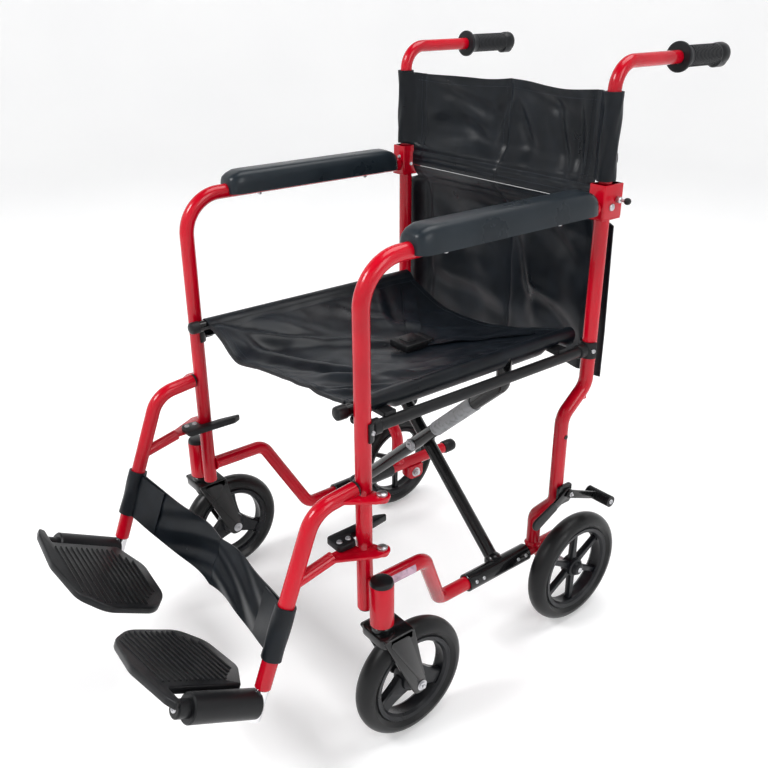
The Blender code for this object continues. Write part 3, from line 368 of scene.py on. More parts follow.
class Piece:
    """Collects closed shells with one finish each, then becomes one object."""

    def __init__(self, *finishes):
        self.bm = bmesh.new()
        self.finishes = finishes

    def skin(self, rings, slot, closed_ends=True, loop=False):
        """Join rings of equal length into a closed shell."""
        layers = [[self.bm.verts.new(p) for p in ring] for ring in rings]
        made = []
        pairs = list(zip(layers, layers[1:]))
        if loop:
            pairs.append((layers[-1], layers[0]))
        for one, two in pairs:
            for k in range(len(one)):
                j = (k + 1) % len(one)
                made.append(self.bm.faces.new((one[k], one[j], two[j], two[k])))
        if closed_ends and not loop:
            made.append(self.bm.faces.new(layers[0]))
            made.append(self.bm.faces.new(layers[-1]))
        for face in made:
            face.material_index = slot
            face.smooth = True
        bmesh.ops.recalc_face_normals(self.bm, faces=made)
        return self

    def tube(self, path, radius, slot=0, sides=None, edge=0.0008, stretch=(1.0, 1.0)):
        """Sweep a circle or an oval along a path, with softened flat ends."""
        sides = sides or bpy.context.scene.wheelchair_tubes.sides
        path = [Vector(p) for p in path]
        tangents = []
        for i in range(len(path)):
            before = path[i] - path[i - 1] if i else path[1] - path[0]
            after = path[i + 1] - path[i] if i + 1 < len(path) else before
            tangents.append((before.normalized() + after.normalized()).normalized())
        side = tangents[0].orthogonal().normalized()
        radii = radius if hasattr(radius, "__len__") else [radius] * len(path)
        places = []
        for i, (point, tangent) in enumerate(zip(path, tangents)):
            places.append((point, tangent, radii[i]))
        if edge > 0:
            first, last = places[0], places[-1]
            places = [(first[0], first[1], first[2] - edge),
                      (first[0] + first[1] * edge, first[1], first[2])] \
                + places[1:-1] + [(last[0] - last[1] * edge, last[1], last[2]),
                                  (last[0], last[1], last[2] - edge)]
        rings = []
        for point, tangent, size in places:
            side = (side - tangent * side.dot(tangent)).normalized()
            up = tangent.cross(side)
            rings.append([point + (side * math.cos(2 * math.pi * k / sides) * stretch[0]
                                   + up * math.sin(2 * math.pi * k / sides) * stretch[1]) * size
                          for k in range(sides)])
        return self.skin(rings, slot)

    def turned(self, profile, centre, axis, slot=0, sides=48):
        """Revolve an outline of (radius, height) pairs about an axis through centre."""
        axis = Vector(axis).normalized()
        spin = axis.to_track_quat("Z", "Y").to_matrix()
        loop = profile[0][0] > 1e-6 and profile[-1][0] > 1e-6
        rings = []
        for radius, height in profile:
            radius = max(radius, 1e-5)
            rings.append([Vector(centre) + axis * height + spin @ Vector(
                (radius * math.cos(2 * math.pi * k / sides), radius * math.sin(2 * math.pi * k / sides), 0))
                for k in range(sides)])
        return self.skin(rings, slot, not loop, loop)

    def plate(self, outline, direction, thickness, slot=0, edge=0.0008):
        """Extrude a flat outline, with softened edges."""
        outline = [Vector(p) for p in outline]
        way = Vector(direction).normalized()
        area = Vector((0, 0, 0))
        for a, b in zip(outline, outline[1:] + outline[:1]):
            area += a.cross(b)
        flip = 1.0 if area.dot(way) > 0 else -1.0
        inset = []
        for i, point in enumerate(outline):
            before = (point - outline[i - 1]).normalized()
            after = (outline[(i + 1) % len(outline)] - point).normalized()
            inward = (way.cross(before) + way.cross(after)) * flip
            inset.append(inward.normalized() * edge if inward.length > 1e-6 else Vector((0, 0, 0)))
        rings = []
        for lift, pull in ((0, 1), (edge * 0.3, 0.3), (edge, 0), (thickness - edge, 0),
                           (thickness - edge * 0.3, 0.3), (thickness, 1)):
            rings.append([p + q * pull + way * lift for p, q in zip(outline, inset)])
        return self.skin(rings, slot)

    def block(self, low, high, slot=0, edge=0.0012):
        """A box with softened edges."""
        x0, x1 = sorted((low[0], high[0]))
        y0, y1 = sorted((low[1], high[1]))
        z0, z1 = sorted((low[2], high[2]))
        corners = rounded([(x0, y0, z0), (x1, y0, z0), (x1, y1, z0), (x0, y1, z0)], [edge] * 4, 3)
        return self.plate(corners, (0, 0, 1), z1 - z0, slot, edge)

    def screw(self, place, way, radius=0.0038, slot=1, height=0.0022):
        """A domed screw head with a hexagon socket."""
        profile = [(0, -0.002), (radius, -0.002), (radius, height * 0.35), (radius * 0.85, height * 0.8),
                   (radius * 0.5, height), (radius * 0.42, height), (radius * 0.36, height * 0.45),
                   (0, height * 0.45)]
        return self.turned(profile, place, way, slot, 18)

    def nut(self, place, way, radius=0.0062, slot=1, height=0.005):
        """A hexagon nut on its washer, with the thread end showing."""
        self.turned([(0, -0.001), (radius * 1.35, -0.001), (radius * 1.35, 0.0008), (0, 0.0008)], place, way,
                    slot, 28)
        self.turned([(0, 0), (radius, 0), (radius, height * 0.8), (radius * 0.86, height), (0, height)],
                    place, way, slot, 6)
        return self.turned([(0, 0), (radius * 0.48, 0), (radius * 0.48, height + 0.0022),
                            (radius * 0.36, height + 0.003),
                            (0, height + 0.003)], place, way, slot, 16)

    def make(self, name, body, replaced=(), sharp=38.0):
        """Turn the shells into an object that rides on its body."""
        mesh = bpy.data.meshes.new(name)
        self.bm.to_mesh(mesh)
        self.bm.free()
        for finish in self.finishes:
            mesh.materials.append(finish_of(finish))
        mesh.set_sharp_from_angle(angle=math.radians(sharp))
        made = bpy.data.objects.new(name, mesh)
        bpy.context.scene.collection.objects.link(made)
        return settle(made, body, replaced)


def settle(made, body, replaced=()):
    """Ride on a body, stand for CAD nodes and name the finish's slot."""
    if body:
        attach(made, body)
    if replaced:
        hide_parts(*replaced)
    return made


def mirrored(side, *nodes):
    return [node + "_" + side for node in nodes]


# ---------------------------------------------------------------- geometry nodes
def node_group(name, sizes):
    """An empty geometry tree with Geometry in and out, named size inputs and a material input."""
    tree = bpy.data.node_groups.new(name, "GeometryNodeTree")
    tree.interface.new_socket("Geometry", in_out="INPUT", socket_type="NodeSocketGeometry")
    for size, default in sizes.items():
        kind = "NodeSocketInt" if isinstance(default, int) else "NodeSocketFloat"
        tree.interface.new_socket(size, in_out="INPUT", socket_type=kind).default_value = default
    tree.interface.new_socket("Finish", in_out="INPUT", socket_type="NodeSocketMaterial")
    tree.interface.new_socket("Geometry", in_out="OUTPUT", socket_type="NodeSocketGeometry")
    start = tree.nodes.new("NodeGroupInput")
    end = tree.nodes.new("NodeGroupOutput")
    realize = tree.nodes.new("GeometryNodeRealizeInstances")
    paint = tree.nodes.new("GeometryNodeSetMaterial")
    tree.links.new(realize.outputs[0], paint.inputs["Geometry"])
    tree.links.new(start.outputs["Finish"], paint.inputs["Material"])
    tree.links.new(paint.outputs[0], end.inputs[0])
    return tree, start, realize


def along_line_tree():
    """Small rounded bars laid end to end along a line, such as stitches or ribs."""
    found = bpy.data.node_groups.get("Bars along a line")
    if found:
        return found
    tree, start, realize = node_group("Bars along a line",
                                      {"Spacing": 0.004, "Length": 0.003, "Radius": 0.0005})
    curve = tree.nodes.new("GeometryNodeMeshToCurve")
    points = tree.nodes.new("GeometryNodeResampleCurve")
    points.mode = "LENGTH"
    bar = tree.nodes.new("GeometryNodeMeshUVSphere")
    bar.inputs["Segments"].default_value = 6
    bar.inputs["Rings"].default_value = 4
    bar.inputs["Radius"].default_value = 1.0
    scale = tree.nodes.new("ShaderNodeCombineXYZ")
    half = tree.nodes.new("ShaderNodeMath")
    half.operation = "MULTIPLY"
    half.inputs[1].default_value = 0.5
    turn = tree.nodes.new("FunctionNodeAlignRotationToVector")
    turn.axis = "Z"
    tangent = tree.nodes.new("GeometryNodeInputTangent")
    copies = tree.nodes.new("GeometryNodeInstanceOnPoints")
    links = tree.links
    links.new(start.outputs["Geometry"], curve.inputs[0])
    links.new(curve.outputs[0], points.inputs["Curve"])
    links.new(start.outputs["Spacing"], points.inputs["Length"])
    links.new(points.outputs[0], copies.inputs["Points"])
    links.new(bar.outputs["Mesh"], copies.inputs["Instance"])
    links.new(tangent.outputs[0], turn.inputs["Vector"])
    links.new(turn.outputs[0], copies.inputs["Rotation"])
    links.new(start.outputs["Length"], half.inputs[0])
    links.new(start.outputs["Radius"], scale.inputs[0])
    links.new(start.outputs["Radius"], scale.inputs[1])
    links.new(half.outputs[0], scale.inputs[2])
    links.new(scale.outputs[0], copies.inputs["Scale"])
    links.new(copies.outputs[0], realize.inputs[0])
    return tree


def grown(name, tree, sizes, finish, lines=()):
    """Run a geometry tree once and return its result as a plain mesh object."""
    mesh = bpy.data.meshes.new(name)
    points, edges = [], []
    for line in lines:
        edges += [(len(points) + i, len(points) + i + 1) for i in range(len(line) - 1)]
        points += [tuple(p) for p in line]
    mesh.from_pydata(points or [(0, 0, 0)], edges, [])
    source = bpy.data.objects.new(name, mesh)
    bpy.context.scene.collection.objects.link(source)
    modifier = source.modifiers.new("grow", "NODES")
    modifier.node_group = tree
    for item in tree.interface.items_tree:
        if item.item_type == "SOCKET" and item.in_out == "INPUT":
            if item.name in sizes:
                modifier[item.identifier] = sizes[item.name]
            elif item.name == "Finish":
                modifier[item.identifier] = finish_of(finish)
    graph = bpy.context.evaluated_depsgraph_get()
    made = bpy.data.objects.new(name, bpy.data.meshes.new_from_object(source.evaluated_get(graph)))
    bpy.data.objects.remove(source)
    made.name = name
    bpy.context.scene.collection.objects.link(made)
    return made


def stitched(name, lines, finish="thread", length=0.0030, radius=0.00042):
    spacing = bpy.context.scene.wheelchair_cloth.stitch
    return grown(name, along_line_tree(), {"Spacing": spacing, "Length": length, "Radius": radius}, finish,
                 lines)


# ---------------------------------------------------------------- side frames
def arm_tube(side, s):
    """Front post and arm in one bent tube, with the two hanger lugs and their bolts."""
    piece = Piece("red", "steel", "plastic")
    rear = REAR_Y - CANE_R - 0.008 - CLEAR
    piece.tube(fillet([(s * POST_X, FRONT_Y, 0.2135), (s * POST_X, FRONT_Y, ARM_Z),
                       (s * POST_X, rear, ARM_Z)],
                      0.060, 22), TUBE_R)
    piece.turned([(0, 0), (TUBE_R - 0.001, 0), (TUBE_R - 0.0015, -0.002), (0, -0.0025)],
                 (s * POST_X, FRONT_Y, 0.2135), (0, 0, 1), 2, 24)
    for z in (UPPER_LUG_Z, LOWER_LUG_Z):
        low = z - 0.004
        piece.plate(rounded([(s * (POST_X + 0.004), FRONT_Y - 0.004, low),
                             (s * (HANGER_X + 0.004), HANGER_Y - 0.0105, low),
                             (s * (HANGER_X + 0.010), HANGER_Y, low),
                             (s * (HANGER_X + 0.004), HANGER_Y + 0.0105, low),
                             (s * (POST_X + 0.004), FRONT_Y + 0.009, low)], [0, 0.007, 0.007, 0.007, 0]),
                             (0, 0, 1), 0.004)
        piece.tube([(s * HANGER_X, HANGER_Y, low), (s * HANGER_X, HANGER_Y, z + 0.006)], 0.004, 1, 20)
        piece.turned([(0, 0), (0.0072, 0), (0.0072, 0.0022), (0.0055, 0.0036), (0, 0.0038)],
                     (s * HANGER_X, HANGER_Y, z + 0.0046), (0, 0, 1), 1, 24)
    return piece.make("Arm_tube_" + side, "frame_" + side, mirrored(side, "front_arm_tube"))


def rear_post(side, s):
    """Rear post with its forward kink and the foot that curves in to the lower rail."""
    piece = Piece("red", "steel", "plastic")
    piece.tube(fillet([(s * POST_X, REAR_Y, HINGE_Z - 0.0188), (s * POST_X, REAR_Y, 0.4232),
                       (s * POST_X, LOWER_REAR_Y, 0.3820), (s * POST_X, LOWER_REAR_Y, 0.2300),
                       (s * RAIL_X, LOWER_REAR_Y, 0.1850), (s * RAIL_X, LOWER_REAR_Y, RAIL_Z + TUBE_R)],
                      0.030, 12), TUBE_R)
    piece.turned([(0, 0), (0.0038, 0), (0.0038, 0.0011), (0.0030, 0.0014), (0, 0.0006)],
                 (s * (POST_X + TUBE_R - 0.0006), LOWER_REAR_Y, 0.350), (s, 0, 0), 2, 18)
    piece.turned([(0.013, -0.001), (0.014, 0.002), (0.0115, 0.006), (0.010, 0.006)],
                 (s * RAIL_X, LOWER_REAR_Y, RAIL_Z + TUBE_R - 0.001), (0, 0, 1), 0, 32)
    low = 0.398
    piece.plate(rounded([(s * (POST_X - 0.002), REAR_Y - 0.012, low),
                         (s * (POST_X + 0.002), REAR_Y - 0.012, low),
                         (s * (POST_X + 0.002), REAR_Y + 0.004, low),
                         (s * (POST_X - 0.002), REAR_Y + 0.004, low)],
                        [0, 0, 0.0018, 0.0018]), (0, 0, 1), 0.014)
    return piece.make("Rear_post_" + side, "frame_" + side, mirrored(side, "rear_post"))


def lower_rail(side, s):
    """Lower rail with its step, pale band and the tipping cap's tube."""
    piece = Piece("red", "steel", "band")
    path = fillet([(s * POST_X, FRONT_Y + TUBE_R - 0.001, RAIL_FRONT_Z),
                   (s * POST_X, FRONT_Y + 0.106, RAIL_FRONT_Z),
                   (s * RAIL_X, FRONT_Y + 0.172, RAIL_Z), (s * RAIL_X, RAIL_END_Y, RAIL_Z)], 0.022, 12)
    piece.tube(path, TUBE_R)
    piece.turned([(TUBE_R - 0.001, 0.000), (TUBE_R + 0.0016, 0.001), (TUBE_R + 0.0006, 0.004),
                  (TUBE_R - 0.001, 0.005)],
                 (s * POST_X, FRONT_Y + TUBE_R - 0.0015, RAIL_FRONT_Z), (0, 1, 0), 0, 32)
    arc = []
    for radius, flip in ((TUBE_R + 0.0004, 1), (TUBE_R - 0.0004, -1)):
        turns = [math.radians(-38 + 76 * k / 14) for k in range(15)][::flip]
        arc += [(radius * math.cos(t) * s + s * POST_X, RAIL_FRONT_Z + radius * math.sin(t)) for t in turns]
    piece.skin([[Vector((x, y, z)) for x, z in arc] for y in (FRONT_Y + 0.022, FRONT_Y + 0.082)], 2)
    return piece.make("Lower_rail_" + side, "frame_" + side, mirrored(side, "lower_rail"))


def small_frame_parts(side, s):
    """Tipping cap, caster housing, axle bracket and armrest."""
    cap = Piece("plastic")
    cap.turned([(0, 0), (0.0118, 0), (0.0125, 0.001), (0.0125, 0.022), (0.0118, 0.026), (0.009, 0.029),
                (0.006, 0.030),
                (0, 0.030)], (s * RAIL_X, RAIL_END_Y + CLEAR, RAIL_Z), (0, 1, 0), 0, 40)
    for k in range(3):
        cap.turned([(0.0120, 0), (0.0130, 0.0008), (0.0130, 0.0022), (0.0120, 0.003)],
                   (s * RAIL_X, RAIL_END_Y + 0.004 + 0.006 * k, RAIL_Z), (0, 1, 0), 0, 40)
    cap.make("Tipping_cap_" + side, "frame_" + side, mirrored(side, "tipping_cap"))

    housing = Piece("red", "steel", "plastic")
    height = HOUSING_TOP - HOUSING_LOW
    housing.turned([(0, 0), (0.0155, 0), (0.0165, 0.001), (0.0165, height - 0.007), (0.0158, height - 0.006),
                    (0, height - 0.006)],
                   (s * HOUSING_X, FRONT_Y, HOUSING_LOW), (0, 0, 1), 0, 40)
    housing.turned([(0, height - 0.008), (0.0160, height - 0.008), (0.0162, height - 0.0045),
                    (0.0150, height - 0.0012),
                    (0.0120, height), (0, height)], (s * HOUSING_X, FRONT_Y, HOUSING_LOW), (0, 0, 1), 2, 40)
    housing.block((s * (POST_X + TUBE_R - 0.001), FRONT_Y - 0.004, 0.2155),
                  (s * (HOUSING_X - 0.008), FRONT_Y + 0.004, 0.267))
    housing.make("Caster_housing_" + side, "frame_" + side, mirrored(side, "caster_housing"))

    bracket = Piece("red", "steel")
    x, y, z = REAR_WHEEL
    bracket.plate(rounded([(s * (RAIL_X - 0.012), y - 0.018, z - 0.013),
                           (s * (RAIL_X - 0.012), y + 0.018, z - 0.013),
                           (s * (RAIL_X - 0.012), y + 0.018, RAIL_Z - TUBE_R + 0.004),
                           (s * (RAIL_X - 0.012), y - 0.018, RAIL_Z - TUBE_R + 0.004)],
                          [0.009, 0.009, 0.002, 0.002]), (s, 0, 0), 0.022)
    bracket.tube([(s * (RAIL_X - 0.014), y, z), (s * (x + 0.020), y, z)], 0.0045, 1, 20)
    bracket.nut((s * (RAIL_X - 0.012), y, z), (-s, 0, 0), 0.0072, 1, 0.006)
    bracket.make("Axle_bracket_" + side, "frame_" + side, mirrored(side, "axle_bracket"))

    pad = Piece("vinyl", "steel")
    half, low, crown = 0.025, 0.6965, 0.0335
    section = []
    for k in range(33):
        turn = math.pi * k / 32
        across = math.copysign(abs(math.cos(turn)) ** 0.42, -math.cos(turn))
        section.append((across * (1 - 0.16 * math.sin(turn)), math.sin(turn) ** 0.40))
    groove = [Vector((0.0115 * math.cos(t), 0, ARM_Z + 0.0115 * math.sin(t)))
              for t in [math.radians(-17 + 214 * k / 16) for k in range(17)]]
    start, length, nose = FRONT_Y + 0.072, 0.330, 0.022
    rings = []
    for k in range(41):
        along = length * k / 40 if 4 < k < 36 else 0.0
        if k <= 4:
            along = nose * 1.5 * (1 - math.cos(math.pi / 2 * k / 4))
        if k >= 36:
            along = length - nose * 1.5 * (1 - math.cos(math.pi / 2 * (40 - k) / 4))
        end = min(along, length - along)
        round_off = math.sqrt(max(0.0, 1 - max(0.0, 1 - end / nose) ** 2))
        wide = half * (0.60 + 0.40 * round_off)
        tall = crown * (0.62 + 0.38 * min(1.0, end / nose) ** 0.5)
        ring = [Vector((s * POST_X + x * wide, start + along, low + z * tall)) for x, z in section]
        ring += [Vector((s * POST_X + p.x, start + along, p.z)) for p in groove]
        rings.append(ring)
    pad.skin(rings, 0)
    for y in (start + 0.060, start + 0.270):
        pad.screw((s * POST_X, y, ARM_Z - TUBE_R - 0.0004), (0, 0, -1), 0.0036)
    pad.make("Armrest_" + side, "frame_" + side, mirrored(side, "armrest_pad"))


def seat_support(side, s):
    """Fixed rail under the seat edge, its clamps on the posts and the guides for the seat rail."""
    piece = Piece("plastic", "steel")
    start, end = FRONT_Y + TUBE_R, REAR_Y - TUBE_R
    piece.tube([(s * POST_X, start, SUPPORT_Z), (s * POST_X, end, SUPPORT_Z)], 0.008, 0, 28)
    for post_y, way in ((FRONT_Y, 1.0), (REAR_Y, -1.0)):
        inner, outer = TUBE_R + 0.0002, TUBE_R + 0.0036
        arc = []
        for k in range(17):
            turn = math.pi * k / 16
            arc.append((s * POST_X + outer * math.cos(turn), post_y + way * outer * math.sin(turn),
                        SUPPORT_Z - 0.013))
        for k in range(17):
            turn = math.pi * (16 - k) / 16
            arc.append((s * POST_X + inner * math.cos(turn), post_y + way * inner * math.sin(turn),
                        SUPPORT_Z - 0.013))
        piece.plate(arc, (0, 0, 1), 0.026, 0, 0.0006)
        piece.tube([(s * POST_X, post_y + way * (outer - 0.002), SUPPORT_Z),
                    (s * POST_X, post_y + way * (outer + 0.012), SUPPORT_Z)],
                   0.0106, 0, 28, 0.0015)
        piece.screw((s * (POST_X + outer - 0.0012), post_y + way * 0.006, SUPPORT_Z), (s, way * 0.4, 0),
                    0.0034)
    cradle = SEAT_RAIL_R + 0.0026
    for y in (FRONT_Y + 0.045, REAR_Y - 0.060):
        inner, outer = SEAT_X - cradle - 0.003, POST_X
        low, high = SEAT_Z - cradle - 0.003, SEAT_Z - 0.0065
        section = [(outer, low), (outer, high)]
        opening = math.asin(-0.0065 / cradle)
        section += [(SEAT_X + cradle * math.cos(t), SEAT_Z + cradle * math.sin(t))
                    for t in [opening + (-math.pi - 2 * opening) * k / 10 for k in range(11)]]
        section += [(inner, high), (inner, low)]
        piece.plate([(s * x, y - 0.009, z) for x, z in section], (0, 1, 0), 0.018, 0, 0.0006)
    return piece.make("Seat_support_" + side, "frame_" + side, mirrored(side, "seat_support_rail"))


def back_bracket(side, s):
    """Folded red channel of the back hinge, with its bolt and the pull pin."""
    half, wall = CANE_R + 0.002, 0.003
    front = REAR_Y - CANE_R - 0.005
    low, high = HINGE_Z - 0.0185, HINGE_Z + 0.0315
    piece = Piece("red", "steel")
    outline = rounded([(s * (POST_X - half - wall), front - wall, low),
                       (s * (POST_X + half + wall), front - wall, low),
                       (s * (POST_X + half + wall), front + 0.037, low),
                       (s * (POST_X + half), front + 0.037, low),
                       (s * (POST_X + half), front, low), (s * (POST_X - half), front, low),
                       (s * (POST_X - half), front + 0.037, low),
                       (s * (POST_X - half - wall), front + 0.037, low)],
                      [0.004, 0.004, 0.0005, 0.0005, 0.0015, 0.0015, 0.0005, 0.0005], 5)
    piece.plate([p + Vector((0, 0, wall)) for p in outline], (0, 0, 1), high - low - wall, 0, 0.0006)
    piece.block((s * (POST_X - half - wall), front - wall, low),
                (s * (POST_X + half + wall), front + 0.037, low + wall + 0.0005))
    piece.tube([(s * (POST_X - half - wall - 0.0008), REAR_Y, HINGE_Z),
                (s * (POST_X + half + wall + 0.002), REAR_Y, HINGE_Z)],
               0.003, 1, 18, 0.0004)
    piece.turned([(0, 0), (0.0052, 0), (0.0050, 0.0018), (0.003, 0.003), (0, 0.003)],
                 (s * (POST_X + half + wall), REAR_Y, HINGE_Z), (s, 0, 0), 1, 24)
    piece.screw((s * (POST_X - 0.004), front - wall - 0.0002, HINGE_Z + 0.013), (0, -1, 0), 0.0032)
    piece.make("Back_bracket_" + side, "frame_" + side, mirrored(side, "back_bracket"))

    pin = Piece("steel", "plastic")
    start = POST_X + CANE_R + 0.0023
    centre = (s * start, REAR_Y + 0.010, HINGE_Z + 0.010)
    pin.turned([(0, 0), (0.0024, 0), (0.0024, 0.0040), (0.0045, 0.0042), (0.0045, 0.0095), (0.0038, 0.0102),
                (0.0022, 0.011),
                (0.0022, 0.020), (0, 0.020)], centre, (s, 0, 0), 0, 28)
    pin.turned([(0, 0.0165), (0.0030, 0.0170), (0.0046, 0.0190), (0.0050, 0.0213), (0.0044, 0.0240),
                (0.0028, 0.0256), (0, 0.026)],
               centre, (s, 0, 0), 1, 28)
    pin.make("Back_pin_" + side, "back_pin_" + side, mirrored(side, "back_release_pin"))


def seat_brake_parts(side, s):
    """Brake bracket, lever and roller arm."""
    y, z = BRAKE_Y, BRAKE_Z
    inside = POST_X + TUBE_R + CLEAR
    bracket = Piece("black", "steel")
    bracket.plate(rounded([(s * inside, LOWER_REAR_Y - 0.012, z - 0.020), (s * inside, y + 0.012, z - 0.020),
                           (s * inside, y + 0.012, z + 0.014), (s * inside, LOWER_REAR_Y - 0.012, z + 0.014)],
                          [0.006] * 4), (s, 0, 0), 0.005)
    bracket.tube([(s * inside, y, z), (s * (inside + 0.014), y, z)], 0.003, 1, 18)
    bracket.nut((s * (inside + 0.0130), y, z), (s, 0, 0), 0.0042, 1, 0.0025)
    bracket.screw((s * (inside + 0.005), LOWER_REAR_Y - 0.004, z - 0.012), (s, 0, 0), 0.003)
    for lift in (-0.006, 0.008):
        bracket.plate(rounded([(s * (inside - 0.0006), LOWER_REAR_Y - 0.004, z + lift - 0.004),
                               (s * (inside - 0.0006), y + 0.004, z + lift - 0.003),
                               (s * (inside - 0.0006), y + 0.004, z + lift + 0.003),
                               (s * (inside - 0.0006), LOWER_REAR_Y - 0.004, z + lift + 0.004)], [0.002] * 4),
                      (s, 0, 0), 0.0062, 0)
    bracket.make("Brake_bracket_" + side, "frame_" + side, mirrored(side, "brake_bracket"))

    x = inside + 0.0055
    down = Vector((0, -0.905, -0.425)).normalized()
    over = Vector((0, 0.425, -0.905)).normalized()
    start = Vector((s * x, y, z))
    lever = Piece("black", "plastic")
    lever.plate(rounded([start + over * 0.008 - down * 0.008, start - over * 0.008 - down * 0.008,
                         start - over * 0.007 + down * 0.070, start + over * 0.007 + down * 0.070],
                        [0.007, 0.007, 0.004, 0.004]), (s, 0, 0), 0.0040, 0)
    lever.plate(rounded([start + over * 0.0085 + down * 0.030, start - over * 0.0085 + down * 0.030,
                         start - over * 0.0105 + down * 0.085, start + over * 0.0105 + down * 0.085],
                        [0.004, 0.004, 0.009, 0.009]), (s, 0, 0), 0.0046, 1, 0.0014)
    lever.make("Brake_lever_" + side, "brake_lever_" + side, mirrored(side, "brake_lever"))

    x += 0.0045 + CLEAR
    start = Vector((s * x, y, z))
    reach = Vector((0, 0.0720, -0.0300))
    along = reach.normalized()
    normal = Vector((0, -along.z, along.y))
    shoe = Piece("black", "plastic", "steel")
    shoe.plate(rounded([start - along * 0.007 - normal * 0.007, start - along * 0.007 + normal * 0.007,
                        start + reach + normal * 0.006, start + reach - normal * 0.006],
                       [0.006, 0.006, 0.005, 0.005]), (s, 0, 0), 0.0035)
    middle = s * (x + 0.006)
    ends = (middle - 0.023, middle + 0.023)
    place = (y + reach.y, z + reach.z)
    profile = [(0, 0)]
    for k in range(13):
        along_x = 0.046 * k / 12
        profile += [(0.0094, along_x + 0.0002), (0.0094, min(0.046, along_x + 0.0016))]
        if k < 12:
            profile += [(0.0082, along_x + 0.0022), (0.0082, along_x + 0.0034)]
    profile = [(r, min(h, 0.046)) for r, h in profile] + [(0, 0.046)]
    shoe.turned(profile, (ends[0], *place), (1, 0, 0), 1, 30)
    shoe.screw((ends[1] if s > 0 else ends[0], *place), (s, 0, 0), 0.0042, 2)
    shoe.make("Brake_roller_" + side, "brake_shoe_" + side, mirrored(side, "brake_shoe"))


# ---------------------------------------------------------------- braces
def brace(name, y, foot_side, replaced, body):
    """Diagonal brace with its lower sleeve, weld collars, screws and the seat rail with end caps."""
    foot = Vector((foot_side * RAIL_X, y, RAIL_Z))
    head = Vector((-foot_side * SEAT_X, y, BRACE_TOP_Z))
    top = Vector((-foot_side * SEAT_X, y, SEAT_Z))
    piece = Piece("black", "steel", "plastic", "label")
    piece.tube(fillet([foot, head, top], 0.018, 10), TUBE_R)
    inner, outer = TUBE_R + 0.0007, 0.0145
    end = SLEEVE_LENGTH
    piece.turned([(inner, 0.0), (outer - 0.001, 0.0), (outer, 0.001), (outer, end - 0.001),
                  (outer - 0.001, end), (inner, end)],
                 (foot.x, SLEEVE_START, RAIL_Z), (0, 1, 0), 0, 40)
    for along in (0.012, 0.028, end - 0.030, end - 0.012):
        for turn in (20, 70):
            way = Vector((foot_side * math.cos(math.radians(turn)), 0, math.sin(math.radians(turn))))
            if turn == 20:
                piece.screw(Vector((foot.x, SLEEVE_START + along, RAIL_Z)) + way * (outer - 0.0006), way,
                            0.0030)
    way = (head - foot).normalized()
    piece.turned([(0.0105, 0.006), (0.0150, 0.010), (0.0146, 0.016), (0.0118, 0.021), (0.0105, 0.022)], foot,
                 way, 0, 36)
    rail_start, rail_end = FRONT_Y - 0.024, FRONT_Y + 0.416
    piece.tube([(top.x, rail_start + 0.010, SEAT_Z), (top.x, rail_end, SEAT_Z)], SEAT_RAIL_R, 0, 28)
    for place, direction in ((rail_start, 1.0),):
        piece.turned([(0, 0), (0.006, 0.0004), (0.0090, 0.0025), (0.0096, 0.006), (0.0096, 0.016),
                      (0, 0.016)],
                     (top.x, place, SEAT_Z), (0, direction, 0), 2, 32)
    if foot_side < 0:
        low, high = 0.62, 0.85
        start = foot + (head - foot) * low
        length = ((head - foot) * (high - low)).length
        piece.turned([(TUBE_R - 0.001, 0), (TUBE_R + 0.0012, 0.0002), (TUBE_R + 0.0012, length),
                      (TUBE_R - 0.001, length)],
                     start, way, 3, 40)
    return piece.make(name, body, replaced)


def pivot_bolt():
    """Bolt, washers and nut through both braces at their crossing."""
    piece = Piece("steel")
    front = BRACE_Y - BRACE_SIDE - TUBE_R
    back = BRACE_Y + BRACE_SIDE + TUBE_R
    piece.tube([(0, front - 0.002, CROSS_Z), (0, back + 0.003, CROSS_Z)], 0.004, 0, 20)
    piece.turned([(0, -0.0005), (0.0105, -0.0005), (0.0105, 0.0012), (0, 0.0012)], (0, front, CROSS_Z),
                 (0, -1, 0), 0, 32)
    piece.nut((0, front - 0.0010, CROSS_Z), (0, -1, 0), 0.0072, 0, 0.0042)
    piece.nut((0, back, CROSS_Z), (0, 1, 0), 0.0072, 0, 0.0042)
    return piece.make("Cross_bolt", "brace_front", ["cross_pivot_bolt"])


# ---------------------------------------------------------------- wheels
def tyre_profile(width, radius, inner):
    half = width / 2
    outline = [(inner, -half * 0.70), (inner, half * 0.70)]
    for k in range(25):
        turn = math.pi * (24 - k) / 24
        outline.append((radius - half * 0.96 + half * 0.96 * math.sin(turn) ** 0.92, -half * math.cos(turn)))
    return outline


